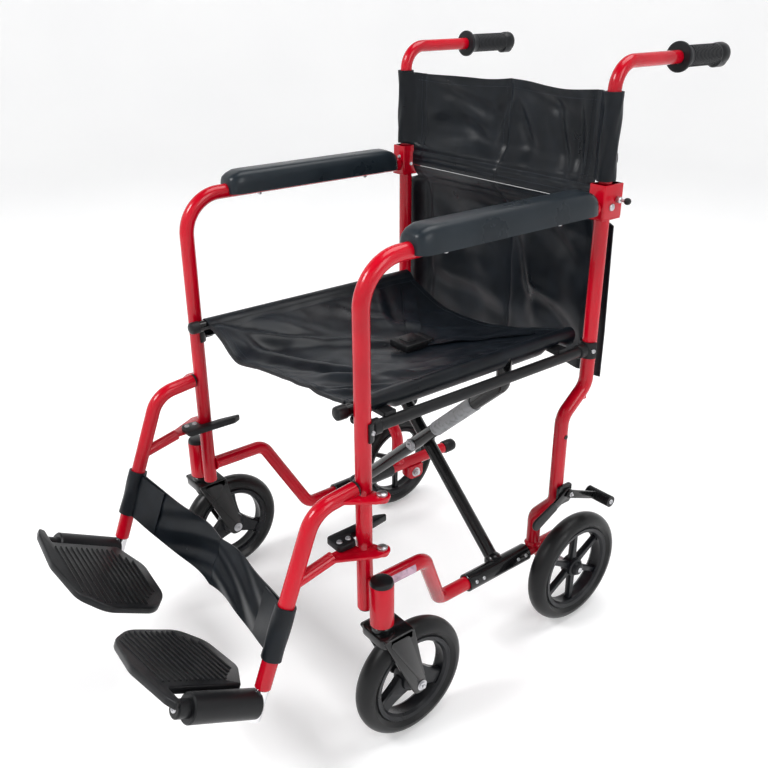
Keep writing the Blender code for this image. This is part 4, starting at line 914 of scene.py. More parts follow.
def spoked_rim(piece, radius, half, hub, hub_half, spokes, root, tip, centre, recess):
    """Rim ring with a lip, tapered spokes and a stepped hub about X."""
    axis = Vector((1, 0, 0))
    piece.turned([(radius - 0.010, -half + 0.004), (radius - 0.007, -half), (radius - 0.001, -half - 0.0012),
                  (radius, -half),
                  (radius, half), (radius - 0.001, half + 0.0012), (radius - 0.007, half),
                  (radius - 0.010, half - 0.004),
                  (radius - 0.0085, 0.0)], centre, axis, 0, 72)
    piece.turned([(0, -hub_half), (hub * 0.45, -hub_half), (hub * 0.62, -hub_half + 0.003),
                  (hub * 0.94, -half * recess - 0.004),
                  (hub, -half * recess), (hub, half * recess), (hub * 0.94, half * recess + 0.004),
                  (hub * 0.62, hub_half - 0.003),
                  (hub * 0.45, hub_half), (0, hub_half)], centre, axis, 0, 40)
    for k in range(spokes):
        turn = 2 * math.pi * k / spokes + math.pi / 2
        out = Vector((0, math.cos(turn), math.sin(turn)))
        across = axis.cross(out).normalized()
        thick = half * recess * 0.9
        rings = []
        for share, width in ((0.0, root), (0.25, root * 0.82), (0.55, (root + tip) * 0.42), (0.85, tip),
                             (1.0, tip * 1.5)):
            place = Vector(centre) + out * (hub * 0.7 + (radius - 0.006 - hub * 0.7) * share)
            ring = []
            for a, b in ((-1, -0.7), (-0.8, -1), (0.8, -1), (1, -0.7), (1, 0.7), (0.8, 1), (-0.8, 1),
                         (-1, 0.7)):
                ring.append(place + across * a * width / 2 + axis * b * thick)
            rings.append(ring)
        piece.skin(rings, 0)


def casters():
    """Forks, rims and tyres of the two front wheels."""
    settings = bpy.context.scene.wheelchair_wheels
    for side, s in SIDES:
        centre = Vector((s * HOUSING_X, CASTER_Y, CASTER_R))
        low = 2 * CASTER_R + 0.0025
        top = HOUSING_LOW - 0.0010
        fork = Piece("black", "steel")
        outer = 0.028
        outline = rounded([(s * HOUSING_X - outer, FRONT_Y - 0.018, low),
                           (s * HOUSING_X + outer, FRONT_Y - 0.018, low),
                           (s * HOUSING_X + outer, FRONT_Y + 0.034, low),
                           (s * HOUSING_X - outer, FRONT_Y + 0.034, low)],
                          [0.012, 0.012, 0.004, 0.004])
        fork.plate(outline, (0, 0, 1), top - 0.008 - low, 0, 0.002)
        fork.turned([(0, 0), (0.0155, 0), (0.0155, top - low - 0.001), (0.0145, top - low), (0, top - low)],
                    (s * HOUSING_X, FRONT_Y, low), (0, 0, 1), 0, 36)
        for way in (-1, 1):
            x = s * HOUSING_X + way * 0.0235
            leg = rounded([(x, FRONT_Y - 0.018, top - 0.0085), (x, FRONT_Y + 0.034, top - 0.0085),
                           (x, CASTER_Y + 0.0115, CASTER_R - 0.012),
                           (x, CASTER_Y - 0.0115, CASTER_R - 0.012)],
                          [0.003, 0.003, 0.0112, 0.0112], 8)
            fork.plate(leg, (way, 0, 0), 0.0045, 0, 0.0012)
            inner_x = s * HOUSING_X + way * 0.0272
            rib = rounded([(inner_x, FRONT_Y - 0.010, top - 0.014), (inner_x, FRONT_Y + 0.024, top - 0.014),
                           (inner_x, CASTER_Y + 0.006, CASTER_R + 0.012),
                           (inner_x, CASTER_Y - 0.006, CASTER_R + 0.012)],
                          [0.004, 0.004, 0.005, 0.005], 6)
            fork.plate(rib, (way, 0, 0), 0.0022, 0, 0.0010)
        fork.tube([centre - Vector((0.030, 0, 0)), centre + Vector((0.030, 0, 0))], 0.0045, 1, 20)
        fork.nut(centre + Vector((s * 0.0280, 0, 0)), (s, 0, 0), 0.0060, 1, 0.0028)
        fork.nut(centre - Vector((s * 0.0280, 0, 0)), (-s, 0, 0), 0.0060, 1, 0.0028)
        fork.make("Caster_fork_" + side, "caster_fork_" + side, mirrored(side, "caster_fork"))
        rim = Piece("rim", "steel")
        spoked_rim(rim, 0.068, 0.0125, 0.0205, 0.0190, settings.spokes_front, 0.036, 0.022, centre, 0.62)
        rim.make("Caster_rim_" + side, "caster_wheel_" + side, mirrored(side, "caster_rim"))
        tyre = Piece("rubber")
        tyre.turned(tyre_profile(settings.tyre_width, CASTER_R, 0.0682), centre, (1, 0, 0), 0, 96)
        tyre.make("Caster_tyre_" + side, "caster_wheel_" + side, mirrored(side, "caster_tyre"))


def rear_wheels():
    """Rims, tyres and tread ribs of the two rear wheels."""
    settings = bpy.context.scene.wheelchair_wheels
    for side, s in SIDES:
        centre = Vector((s * REAR_WHEEL[0], REAR_WHEEL[1], REAR_WHEEL[2]))
        rim = Piece("rim", "steel")
        spoked_rim(rim, 0.074, 0.0125, 0.0165, 0.0150, settings.spokes_rear, 0.013, 0.009, centre, 0.45)
        rim.turned([(0, 0.006), (0.0125, 0.006), (0.0120, 0.0135), (0.0090, 0.0178), (0.004, 0.0192),
                    (0, 0.0194)],
                   centre, (s, 0, 0), 0, 36)
        rim.make("Rear_rim_" + side, "rear_wheel_" + side, mirrored(side, "rear_rim"))
        tyre = Piece("rubber")
        tyre.turned(tyre_profile(settings.tyre_width, REAR_WHEEL[2], 0.0742), centre, (1, 0, 0), 0, 96)
        tyre.make("Rear_tyre_" + side, "rear_wheel_" + side, mirrored(side, "rear_tyre"))


# ---------------------------------------------------------------- footrests
def hanger(side, s):
    """Swing-away hanger tube with its hinge plates and lower strut."""
    piece = Piece("red", "steel", "plastic")
    top = (FRONT_Y - TUBE_R - 0.003, 0.404)
    path = fillet([(s * POST_X, *top), (s * POST_X, *HANGER_KNEE), (s * POST_X, *HANGER_FOOT)], 0.045, 18)
    piece.tube(path, TUBE_R)
    piece.turned([(0, 0.0), (0.0100, 0.0), (0.0108, 0.0012), (0.0108, 0.0022), (0, 0.0022)],
                 (s * POST_X, top[0] - 0.0004, top[1]), (0, 1, 0), 2, 28)
    for z, inner, reach in ((UPPER_LUG_Z, POST_X - 0.008, 0.045), (LOWER_LUG_Z, POST_X - 0.006, 0.060)):
        low = z + CLEAR
        clear = TUBE_R + 0.0035
        piece.plate(rounded([(s * inner, FRONT_Y - reach, low), (s * (POST_X + 0.009), FRONT_Y - reach, low),
                             (s * (HANGER_X + 0.0105), HANGER_Y - 0.014, low),
                             (s * (HANGER_X + 0.0105), HANGER_Y + 0.0105, low),
                             (s * (HANGER_X - 0.0105), HANGER_Y + 0.0105, low),
                             (s * (HANGER_X - 0.0105), FRONT_Y - clear, low),
                             (s * inner, FRONT_Y - clear, low)],
                             [0.003, 0.004, 0.012, 0.010, 0.010, 0.004, 0.003], 6),
                    (0, 0, 1), 0.004)
    slope = math.tan(HANGER_ANGLE)
    meet_z = LOWER_LUG_Z - 0.012
    meet_y = HANGER_FOOT[0] + (meet_z - HANGER_FOOT[1]) * slope
    piece.tube([(s * POST_X, meet_y, meet_z), (s * (POST_X + 0.001), FRONT_Y - 0.052, LOWER_LUG_Z + 0.0025)],
               0.0085, 0, 28)
    return piece.make("Hanger_" + side, "hanger_" + side, mirrored(side, "hanger"))


def hanger_latch(side, s):
    """Black latch lever with two bolts, passing inboard of the post."""
    z = LOWER_LUG_Z + 0.0046
    near = POST_X - TUBE_R - 0.0025
    piece = Piece("plastic", "steel")
    outline = rounded([(s * (POST_X + 0.004), FRONT_Y - 0.043, z), (s * (POST_X + 0.004), FRONT_Y - 0.016, z),
                       (s * near, FRONT_Y - 0.013, z), (s * near, FRONT_Y + 0.020, z),
                       (s * (near - 0.006), FRONT_Y + 0.060, z), (s * (near - 0.016), FRONT_Y + 0.040, z),
                       (s * (near - 0.014), FRONT_Y - 0.043, z)],
                       [0.006, 0.003, 0.002, 0.008, 0.003, 0.006, 0.006])
    piece.plate(outline, (0, 0, 1), 0.010, 0, 0.0018)
    for y in (FRONT_Y - 0.036, FRONT_Y - 0.022):
        piece.screw((s * (POST_X - 0.006), y, z + 0.0098), (0, 0, 1), 0.0040)
    return piece.make("Hanger_latch_" + side, "hanger_latch_" + side, mirrored(side, "hanger_release_lever"))


def foot_frame(s):
    """End of the chrome tube and the direction along the footplate's barrel."""
    down = Vector((0, -math.sin(HANGER_ANGLE), -math.cos(HANGER_ANGLE)))
    end = Vector((s * POST_X, *HANGER_FOOT)) + down * (CLEAR + 0.046)
    along = Vector((0, -math.cos(PLATE_TILT), math.sin(PLATE_TILT)))
    return down, end, along


def plate_directions(s):
    """Start of the barrel, with the directions along it, inward across the plate and up from it."""
    down, end, along = foot_frame(s)
    start = end - down * 0.023 + along * (0.0095 + 0.0050)
    level = Vector((0, math.sin(PLATE_TILT), math.cos(PLATE_TILT)))
    inward = Vector((-s * math.cos(PLATE_DROOP), 0, 0)) - level * math.sin(PLATE_DROOP)
    up = along.cross(inward).normalized()
    if up.z < 0:
        up = -up
    return start, along, inward, up


def extension(side, s):
    """Chrome tube at the foot of the hanger, with the moulded barrel that carries the footplate."""
    down, end, along = foot_frame(s)
    piece = Piece("chrome", "plastic", "steel")
    piece.tube([Vector((s * POST_X, *HANGER_FOOT)) + down * CLEAR, end], 0.0095, 0)
    start, along = plate_directions(s)[:2]
    length = 0.094
    piece.tube([start - along * 0.010, start + along * length], 0.0195, 1, 48, 0.002)
    piece.tube([start + along * (length - 0.002), start + along * (length + 0.018)], 0.012, 1, 32, 0.002)
    piece.screw(start + along * (length + 0.0178), along, 0.005, 2)
    return piece.make("Chrome_tube_" + side, "hanger_" + side, mirrored(side, "footrest_extension"))


def footplate(side, s):
    """Ridged D-shaped footplate hinged beside its barrel."""
    start, along, inward, up = plate_directions(s)
    piece = Piece("plastic", "steel")
    thick = 0.011
    corner = start + up * (0.0195 - thick - 0.002)
    shape = [(0.0215, 0.004), (0.070, -0.024), (0.150, -0.022), (0.188, 0.006), (0.188, 0.085),
             (0.157, 0.120),
             (0.080, 0.134), (0.000, 0.128), (-0.018, 0.122), (-0.012, 0.114), (0.0215, 0.114)]
    radii = [0.002, 0.040, 0.045, 0.030, 0.040, 0.040, 0.060, 0.018, 0.008, 0.004, 0.004]
    outline = rounded([corner + inward * u + along * v for u, v in shape], radii, 10)
    piece.plate(outline, up, thick, 0, 0.0022)
    piece.make("Footplate_" + side, "footplate_" + side, mirrored(side, "footplate"), 50.0)
    lines = []
    for k in range(15):
        v = -0.006 + 0.0085 * k
        low, high = 0.034, 0.178
        if v < 0.012:
            low, high = 0.056 - v, 0.152 + v
        elif v > 0.088:
            high = 0.178 - (v - 0.088)
        base = corner + up * (thick + 0.0004)
        lines.append([base + inward * low + along * v, base + inward * high + along * v])
    ribs = Piece("plastic")
    for line in lines:
        ribs.tube(line, 0.0015, 0, 10, 0.0008)
    ribs.make("Footplate_ribs_" + side, "footplate_" + side, ())


# ---------------------------------------------------------------- canes and grips
def cane(side, s):
    """Upper back post bent into the push handle."""
    piece = Piece("red", "steel")
    piece.tube(fillet([(s * POST_X, REAR_Y, HINGE_Z + 0.006), (s * POST_X, REAR_Y, HANDLE_Z),
                       (s * POST_X, REAR_Y + 0.234, HANDLE_Z)], 0.036, 22), CANE_R)
    reach = 0.0092
    piece.plate(rounded([(s * POST_X - CANE_R, REAR_Y - reach, HINGE_Z - reach),
                         (s * POST_X - CANE_R, REAR_Y + 0.0125, HINGE_Z - reach + 0.002),
                         (s * POST_X - CANE_R, REAR_Y + 0.0125, HINGE_Z + 0.024),
                         (s * POST_X - CANE_R, REAR_Y - reach, HINGE_Z + 0.024)],
                         [0.006, 0.004, 0.003, 0.003]),
                (1, 0, 0), 2 * CANE_R)
    return piece.make("Back_cane_" + side, "upper_back_" + side, mirrored(side, "back_cane"))


def grip(side, s):
    """Grip with a hand flange, ribs on top and a raised end."""
    piece = Piece("grip")
    centre = Vector((s * POST_X, REAR_Y + 0.136, HANDLE_Z))
    profile = [(0, 0.0985), (0.0098, 0.0985), (0.0098, 0.0), (0.0200, 0.0), (0.0213, 0.0012),
               (0.0213, 0.0042), (0.0200, 0.0056),
               (0.0175, 0.0090), (0.0152, 0.0130), (0.0145, 0.018)]
    for k in range(20):
        base = 0.0200 + 0.0034 * k
        profile += [(0.0145, base + 0.0020), (0.01515, base + 0.0025), (0.01515, base + 0.0030)]
    profile += [(0.0145, 0.0905), (0.0152, 0.0930), (0.0163, 0.0960), (0.0165, 0.1060), (0.0155, 0.1095),
                (0.0125, 0.1120),
                (0, 0.1120)]
    piece.turned(profile, centre, (0, 1, 0), 0, 44)
    piece.tube([centre + Vector((0, 0.088, -0.006)), centre + Vector((0, 0.1108, -0.006))], 0.0130, 0, 32,
               0.003)
    return piece.make("Push_grip_" + side, "upper_back_" + side, mirrored(side, "push_grip"))


# ---------------------------------------------------------------- cloth
def cloth_object(name, rows, thickness, finish="nylon"):
    """Thicken a grid of points, by one thickness or one for each row, into a closed sheet with a UV map."""
    grid = np.array([[tuple(p) for p in row] for row in rows], float)
    down = np.gradient(grid, axis=0)
    across = np.gradient(grid, axis=1)
    normal = np.cross(down, across)
    normal /= np.maximum(np.linalg.norm(normal, axis=2, keepdims=True), 1e-12)
    normal *= np.reshape(thickness, (-1, 1, 1))
    count_i, count_j = grid.shape[:2]
    points = np.concatenate([(grid + normal / 2).reshape(-1, 3), (grid - normal / 2).reshape(-1, 3)])
    offset = count_i * count_j
    step_i = np.linalg.norm(np.diff(grid, axis=0), axis=2).mean(axis=1)
    step_j = np.linalg.norm(np.diff(grid, axis=1), axis=2).mean(axis=0)
    v = np.concatenate([[0], np.cumsum(step_i)])
    u = np.concatenate([[0], np.cumsum(step_j)])
    faces = []
    for i in range(count_i - 1):
        for j in range(count_j - 1):
            a, b = i * count_j + j, i * count_j + j + 1
            c, d = a + count_j, b + count_j
            faces.append((a, c, d, b))
            faces.append((offset + a, offset + b, offset + d, offset + c))
    for i in range(count_i - 1):
        for j, flip in ((0, True), (count_j - 1, False)):
            a, c = i * count_j + j, (i + 1) * count_j + j
            faces.append((a, offset + a, offset + c, c) if flip else (a, c, offset + c, offset + a))
    for j in range(count_j - 1):
        for i, flip in ((0, False), (count_i - 1, True)):
            a, b = i * count_j + j, i * count_j + j + 1
            faces.append((a, offset + a, offset + b, b) if flip else (a, b, offset + b, offset + a))
    mesh = bpy.data.meshes.new(name)
    mesh.from_pydata([tuple(p) for p in points], [], faces)
    mesh.validate()
    bm = bmesh.new()
    bm.from_mesh(mesh)
    bmesh.ops.recalc_face_normals(bm, faces=bm.faces)
    bm.to_mesh(mesh)
    bm.free()
    layer = mesh.uv_layers.new(name="cloth")
    for loop in mesh.loops:
        index = loop.vertex_index % offset
        layer.data[loop.index].uv = (u[index % count_j], v[index // count_j])
    mesh.materials.append(finish_of(finish))
    mesh.shade_smooth()
    mesh.set_sharp_from_angle(angle=math.radians(70))
    made = bpy.data.objects.new(name, mesh)
    bpy.context.scene.collection.objects.link(made)
    return made, (float(u[-1]), float(v[-1]))


def smooth_line(points, x):
    """Smoothly interpolate a list of (x, value) pairs."""
    xs = [p[0] for p in points]
    ys = [p[1] for p in points]
    x = min(max(x, xs[0]), xs[-1])
    for i in range(len(xs) - 1):
        if x <= xs[i + 1]:
            t = (x - xs[i]) / (xs[i + 1] - xs[i])
            before = (ys[i + 1] - ys[max(i - 1, 0)]) / (xs[i + 1] - xs[max(i - 1, 0)])
            j = min(i + 2, len(xs) - 1)
            after = (ys[j] - ys[i]) / (xs[j] - xs[i])
            h = xs[i + 1] - xs[i]
            t2, t3 = t * t, t * t * t
            return ((2 * t3 - 3 * t2 + 1) * ys[i] + (t3 - 2 * t2 + t) * h * before
                    + (3 * t2 - 2 * t3) * ys[i + 1] + (t3 - t2) * h * after)
    return ys[-1]


def ridge(distance, width):
    """Height of a soft fold at a distance from its line."""
    return math.exp(-(distance / width) ** 2)


def crumple(x, y, scale, height):
    """Fine random creasing of the cloth."""
    one = noise.noise(Vector((x * scale, y * scale, 0.7)))
    two = noise.noise(Vector((x * scale * 2.3 + 5.0, y * scale * 2.3, 1.9)))
    return height * ((1.0 - 2.4 * abs(one)) * 0.6 + two * 0.5)


def fold(x, y, start, end, width, height):
    """A soft crease that fades at both ends."""
    ax, ay = start
    bx, by = end
    dx, dy = bx - ax, by - ay
    size = math.hypot(dx, dy)
    t = ((x - ax) * dx + (y - ay) * dy) / (size * size)
    away = ((x - ax) * -dy + (y - ay) * dx) / size
    if t < -0.15 or t > 1.15:
        return 0.0
    fade = math.sin(math.pi * min(max((t + 0.15) / 1.3, 0), 1))
    return height * fade * (ridge(away, width) - 0.45 * ridge(away - width * 1.6, width))


SEAT_FOLDS = [
    ((-0.18, 0.010), (0.13, 0.120), 0.018, 0.010), ((-0.17, 0.100), (0.10, 0.330), 0.020, 0.006),
    ((-0.16, 0.030), (-0.06, 0.180), 0.012, 0.007), ((0.05, 0.020), (0.17, 0.160), 0.014, 0.005),
    ((-0.02, 0.020), (0.16, 0.100), 0.012, 0.005), ((0.120, 0.016), (0.178, 0.050), 0.006, 0.005),
    ((0.100, 0.010), (0.170, 0.085), 0.006, 0.004),
    ((0.10, 0.120), (0.178, 0.200), 0.007, 0.003),
    ((0.11, 0.190), (0.178, 0.260), 0.007, 0.003), ((0.10, 0.260), (0.176, 0.330), 0.008, 0.003),
    ((-0.15, 0.240), (0.02, 0.360), 0.016, 0.005), ((-0.175, 0.330), (-0.08, 0.280), 0.010, 0.004)]


def seat_height(x, y):
    """Height of the seat cloth's middle surface at x, y metres behind the front posts."""
    sag = bpy.context.scene.wheelchair_cloth.seat_sag
    edge = 0.183
    share = 1 - min(1.0, abs(x) / edge) ** 2
    hem = smooth_line([(-0.183, 0.0), (-0.14, -0.016), (-0.10, -0.034), (-0.05, -0.028), (0.0, -0.020),
                       (0.08, -0.010), (0.15, -0.006), (0.183, 0.0)], x)
    body = -sag * share * (1.0 - 0.42 * x / edge)
    front = math.exp(-max(0.0, y - 0.004) / 0.075)
    z = SEAT_Z + 0.003 + body * (1 - front) + hem * front
    rest = min(1.0, (edge - abs(x)) / 0.02) if abs(x) < edge else 0.0
    return z + rest * (1.3 * sum(fold(x, y, *crease) for crease in SEAT_FOLDS) + crumple(x, y, 17.0, 0.0022))


def lip(y, turn):
    """The pocket's loose underside hangs a little, except where the guides hold the rail."""
    free = min(1.0, max(0.0, min(abs(y - place) for place in (0.045, 0.374)) - 0.014) / 0.012)
    return 1.0 + 0.75 * free * (math.sin(turn) < 0)


def seat_cloth():
    """Seat sling: pockets round both seat rails, a sagging middle and a bound front hem."""
    rows = []
    low_y, high_y = 0.004, 0.4175
    pocket = SEAT_RAIL_R + 0.0014
    for i in range(91):
        y = low_y + (high_y - low_y) * i / 90
        row = []
        for k in range(11):
            turn = math.radians(-60 - 210 * k / 10)
            row.append((-SEAT_X + pocket * math.cos(turn), FRONT_Y + y,
                        SEAT_Z + pocket * math.sin(turn) * lip(y, turn)))
        for k in range(1, 84):
            x = -0.188 + 0.376 * k / 84
            ease = min(1.0, (0.188 - abs(x)) / 0.012)
            top = SEAT_Z + pocket - 0.0004
            row.append((x, FRONT_Y + y, seat_height(x, y) * ease + top * (1 - ease)))
        for k in range(11):
            turn = math.radians(90 - 210 * k / 10)
            row.append((SEAT_X + pocket * math.cos(turn), FRONT_Y + y,
                        SEAT_Z + pocket * math.sin(turn) * lip(y, turn)))
        rows.append(row)
    made, flat = cloth_object("Seat_cloth", rows, 0.0018)
    hem = []
    for y in (low_y + 0.008, low_y + 0.014, high_y - 0.010):
        hem.append([(x, FRONT_Y + y, seat_height(x, y) + 0.0012) for x in np.linspace(-0.172, 0.172, 90)])
    for x in (-0.176, -0.170, 0.170, 0.176):
        hem.append([(x, FRONT_Y + y, seat_height(x, y) + 0.0012) for y in np.linspace(low_y, high_y, 90)])
    stitches = stitched("Seat_stitches", hem)
    binding = Piece("binding")
    edge = [(x, FRONT_Y + low_y, seat_height(x, low_y)) for x in np.linspace(-0.176, 0.176, 120)]
    binding.tube(edge, 0.0026, 0, 10, 0.0005)
    for s in (-1, 1):
        line = [(s * 0.1795, FRONT_Y + y, seat_height(s * 0.1795, y) + 0.0006) for y in np.linspace(low_y,
            high_y, 90)]
        binding.tube(line, 0.0024, 0, 10, 0.0005)
    hem_edge = binding.make("Seat_binding", None, ())
    for piece in (made, stitches, hem_edge):
        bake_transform(piece)
    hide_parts("seat_sling")


BACK_FOLDS = [
    ((0.01, 0.830), (0.06, 0.745), 0.012, 0.006), ((0.00, 0.840), (-0.03, 0.760), 0.010, 0.006),
    ((0.02, 0.845), (0.14, 0.815), 0.010, 0.004), ((0.10, 0.830), (0.14, 0.730), 0.010, 0.006),
    ((0.15, 0.835), (0.165, 0.725), 0.009, 0.006), ((-0.16, 0.835), (-0.03, 0.800), 0.012, 0.005),
    ((-0.12, 0.800), (-0.02, 0.740), 0.012, 0.004), ((-0.19, 0.780), (-0.05, 0.770), 0.012, 0.003),
    ((0.04, 0.660), (0.15, 0.600), 0.016, 0.005), ((-0.16, 0.640), (-0.03, 0.560), 0.018, 0.005),
    ((0.02, 0.520), (0.18, 0.470), 0.016, 0.005), ((-0.18, 0.500), (0.00, 0.455), 0.016, 0.005),
    ((0.01, 0.620), (0.04, 0.480), 0.014, 0.005)]


def quilting(x, z):
    """Pulled-in stitch lines across the back, down its middle and beside the sleeves."""
    lines = sum(ridge(z - HINGE_Z - line, 0.0030) for line in (0.024, 0.011, -0.006, -0.020))
    seams = ridge(x, 0.0035) + ridge(abs(x) - 0.180, 0.0030)
    puff = 0.35 * ridge(z - HINGE_Z - 0.002, 0.030)
    return 0.0030 * min(1.2, lines + seams) - 0.0030 * puff


def back_bow(x, z):
    """How far behind the posts the back cloth hangs, flat at the hinge line."""
    sag = bpy.context.scene.wheelchair_cloth.back_sag
    share = 1 - min(1.0, abs(x) / POST_X) ** 2
    ease = min(1.0, abs(z - HINGE_Z) / 0.06)
    ease = ease * ease * (3 - 2 * ease)
    crease = sum(fold(x, z, *one) for one in BACK_FOLDS) + quilting(x, z) + crumple(x, z, 15.0, 0.0022)
    inside = min(1.0, (POST_X - abs(x)) / 0.03) if abs(x) < POST_X else 0.0
    return sag * share * (0.25 + 0.75 * ease) * ease + crease * inside * min(1.0,
        abs(z - HINGE_Z) / 0.020) ** 1.5


def hinge_thickness(z):
    """Thickness of the back cloth at a height: it thins to its edge at the hinge line."""
    return 0.0005 + 0.0015 * min(1.0, abs(z - HINGE_Z) / 0.008)


def upper_cloth(side, s):
    """Upper half of the back: a sleeve round the cane, then a bowed panel to the centre seam."""
    sleeve = CANE_R + 0.0022
    low, high = HINGE_Z + 0.0004, BACK_TOP_Z
    narrow, wide = 0.1980, POST_X - 0.006
    rows = []
    for i in range(61):
        share = i / 60
        z = low + (high - low) * share
        outer = narrow if z < HINGE_Z + 0.034 else wide
        row = []
        for k in range(41):
            x = 0.0004 + (outer - 0.0004) * k / 40
            wave = 0.0
            if share > 0.9:
                wave = (share - 0.9) * 10 * (0.0012 * math.sin(s * x * 42)
                                             - 0.0050 * math.sin(math.pi * x / POST_X))
            near = min(1.0, max(0.0, (x - 0.195) / 0.017)) if outer == wide else 0.0
            y = REAR_Y + back_bow(s * x, z) * (1 - near) - sleeve * 0.96 * near
            row.append((s * x, y, z + wave))
        rows.append(row)
    panel, flat = cloth_object("Back_upper_" + side, rows, [hinge_thickness(row[0][2]) for row in rows])
    tube_rows = []
    for i in range(31):
        z = HINGE_Z + 0.0355 + (high - HINGE_Z - 0.0355) * i / 30
        row = []
        for k in range(33):
            turn = 2 * math.pi * k / 32
            pleat = 1 + 0.05 * math.sin(turn * 3 + z * 60) + 0.04 * math.sin(turn * 5 - z * 95)
            radius = (CANE_R + 0.0026) * pleat
            row.append((s * POST_X + radius * math.cos(turn), REAR_Y + radius * math.sin(turn) * 1.08, z))
        tube_rows.append(row)
    wrap, wrap_flat = cloth_object("Back_sleeve_" + side, tube_rows, 0.0016)
    if s > 0:
        loop = [(0.206, REAR_Y + 0.013, 0.746), (0.206, REAR_Y + 0.026, 0.764),
                (0.206, REAR_Y + 0.034, 0.772),
                (0.206, REAR_Y + 0.036, 0.757), (0.206, REAR_Y + 0.029, 0.747)]
        piping = Piece("binding")
        piping.tube(fillet(loop, 0.008, 6), 0.0022, 0, 12, 0.0006)
        piping.tube(fillet([(x - 0.005, y - 0.002, z) for x, y, z in loop], 0.008, 6), 0.0026, 0, 12, 0.0006)
        piping.make("Back_pocket_piping", "upper_back_left", ())
    lines = []
    for x in (0.176, 0.184, 0.006):
        lines.append([(s * x, REAR_Y + back_bow(s * x, z) - 0.0014, z) for z in np.linspace(HINGE_Z + 0.034,
            high - 0.010, 60)])
    for z in (HINGE_Z + 0.011, HINGE_Z + 0.024, high - 0.012):
        lines.append([(s * x, REAR_Y + back_bow(s * x, z) - 0.0014,
                       z - (0.005 * math.sin(math.pi * x / POST_X) if z > 0.84 else 0))
                      for x in np.linspace(0.004, 0.190, 60)])
    stitches = stitched("Back_upper_stitches_" + side, lines)
    settle(wrap, "upper_back_" + side, ())
    for piece in (panel, stitches):
        settle(piece, "upper_back_" + side, ())
        s * BACK_EDGE_X
        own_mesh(piece)
    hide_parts("back_sling_upper_" + side)
    "back_cane_" + side
    "back_cane_" + side


def lower_cloth(side, s):
    """Lower half of the back, hung behind the rear post."""
    rows = []
    low, high = BACK_LOW_Z, HINGE_Z - 0.0004
    for i in range(71):
        z = low + (high - low) * i / 70
        narrowing = min(1.0, max(0.0, (z - 0.672) / 0.008))
        outer = 0.2265 + (0.1980 - 0.2265) * narrowing
        behind = 0.0165 + 0.006 * min(1.0, (high - z) / 0.20)
        ease = min(1.0, (high - z) / 0.030)
        row = []
        for k in range(45):
            x = 0.0004 + (outer - 0.0004) * k / 44
            ripple = 0.002 * math.sin(s * x * 60 + z * 14) * min(1.0,
                (high - z) / 0.08) * (1 - min(1, abs(x) / POST_X) ** 4)
            row.append((s * x, REAR_Y + back_bow(s * x, z) + behind * ease + ripple,
                        z + 0.004 * math.sin(x * 30) * (1 - i / 70)))
        rows.append(row)
    panel, flat = cloth_object("Back_lower_" + side, rows, [hinge_thickness(row[0][2]) for row in rows])
    lines = []
    for z in (HINGE_Z - 0.006, HINGE_Z - 0.020):
        lines.append([(s * x, REAR_Y + back_bow(s * x, z) + (0.0165 * min(1.0, (high - z) / 0.030)) - 0.0013,
                       z)
                      for x in np.linspace(0.004, 0.190, 60)])
    stitches = stitched("Back_lower_stitches_" + side, lines)
    for piece in (panel, stitches):
        settle(piece, "frame_" + side, ())
        s * BACK_EDGE_X
        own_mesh(piece)
    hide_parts("back_sling_lower_" + side)
    "rear_post_" + side


def calf_band(side, s):
    """Half of the calf strap with the loop round the hanger tube and a fastened flap."""
    slope = math.tan(HANGER_ANGLE)
    low_z = 0.2075
    low = Vector((s * POST_X, HANGER_FOOT[0] + (low_z - HANGER_FOOT[1]) * slope, low_z))
    up = Vector((0, math.sin(HANGER_ANGLE), math.cos(HANGER_ANGLE)))
    back = Vector((0, math.cos(HANGER_ANGLE), -math.sin(HANGER_ANGLE)))
    height = 0.074
    rows = []
    for i in range(25):
        lift = height * i / 24
        row = []
        for k in range(41):
            x = 0.0004 + (POST_X - TUBE_R - 0.0004) * k / 40
            share = 1 - (x / POST_X) ** 2
            ripple = 0.0018 * math.sin(i * 0.5 + x * 55) * share
            base = Vector((s * x, low.y, low.z)) + up * (lift + 0.004 * math.sin(x * 30) * share)
            row.append(base + back * (0.030 * share + ripple) + Vector((0, 0, -0.016 * share)))
        rows.append(row)
    band, flat = cloth_object("Calf_band_" + side, rows, 0.0022)
    ring_rows = []
    for i in range(13):
        lift = height * i / 12
        row = []
        for k in range(41):
            turn = 2 * math.pi * k / 40
            radius = TUBE_R + 0.0020 + 0.0005 * math.sin(turn * 4 + i * 0.6)
            across = Vector((s, 0, 0))
            row.append(low + up * lift + across * radius * math.cos(turn) + back * radius * math.sin(turn))
        ring_rows.append(row)
    loop, loop_flat = cloth_object("Calf_loop_" + side, ring_rows, 0.0022)
    flap_rows = []
    for i in range(13):
        lift = height * (0.04 + 0.92 * i / 12)
        row = []
        for k in range(13):
            x = 0.150 + (POST_X - TUBE_R + 0.002 - 0.150) * k / 12
            share = 1 - (x / POST_X) ** 2
            base = Vector((s * x, low.y, low.z)) + up * lift
            row.append(base + back * (0.030 * share - 0.0028) + Vector((0, 0, -0.016 * share)))
        flap_rows.append(row)
    flap, flap_flat = cloth_object("Calf_flap_" + side, flap_rows, 0.0020)
    for piece in (band, loop, flap):
        settle(piece, "hanger_" + side, ())
    for piece in (band, flap):
        s * POST_X
        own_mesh(piece)
    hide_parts("calf_strap_" + side)
    for piece, size in ((band, flat), (loop, loop_flat), (flap, flap_flat)):
        "hanger_" + side


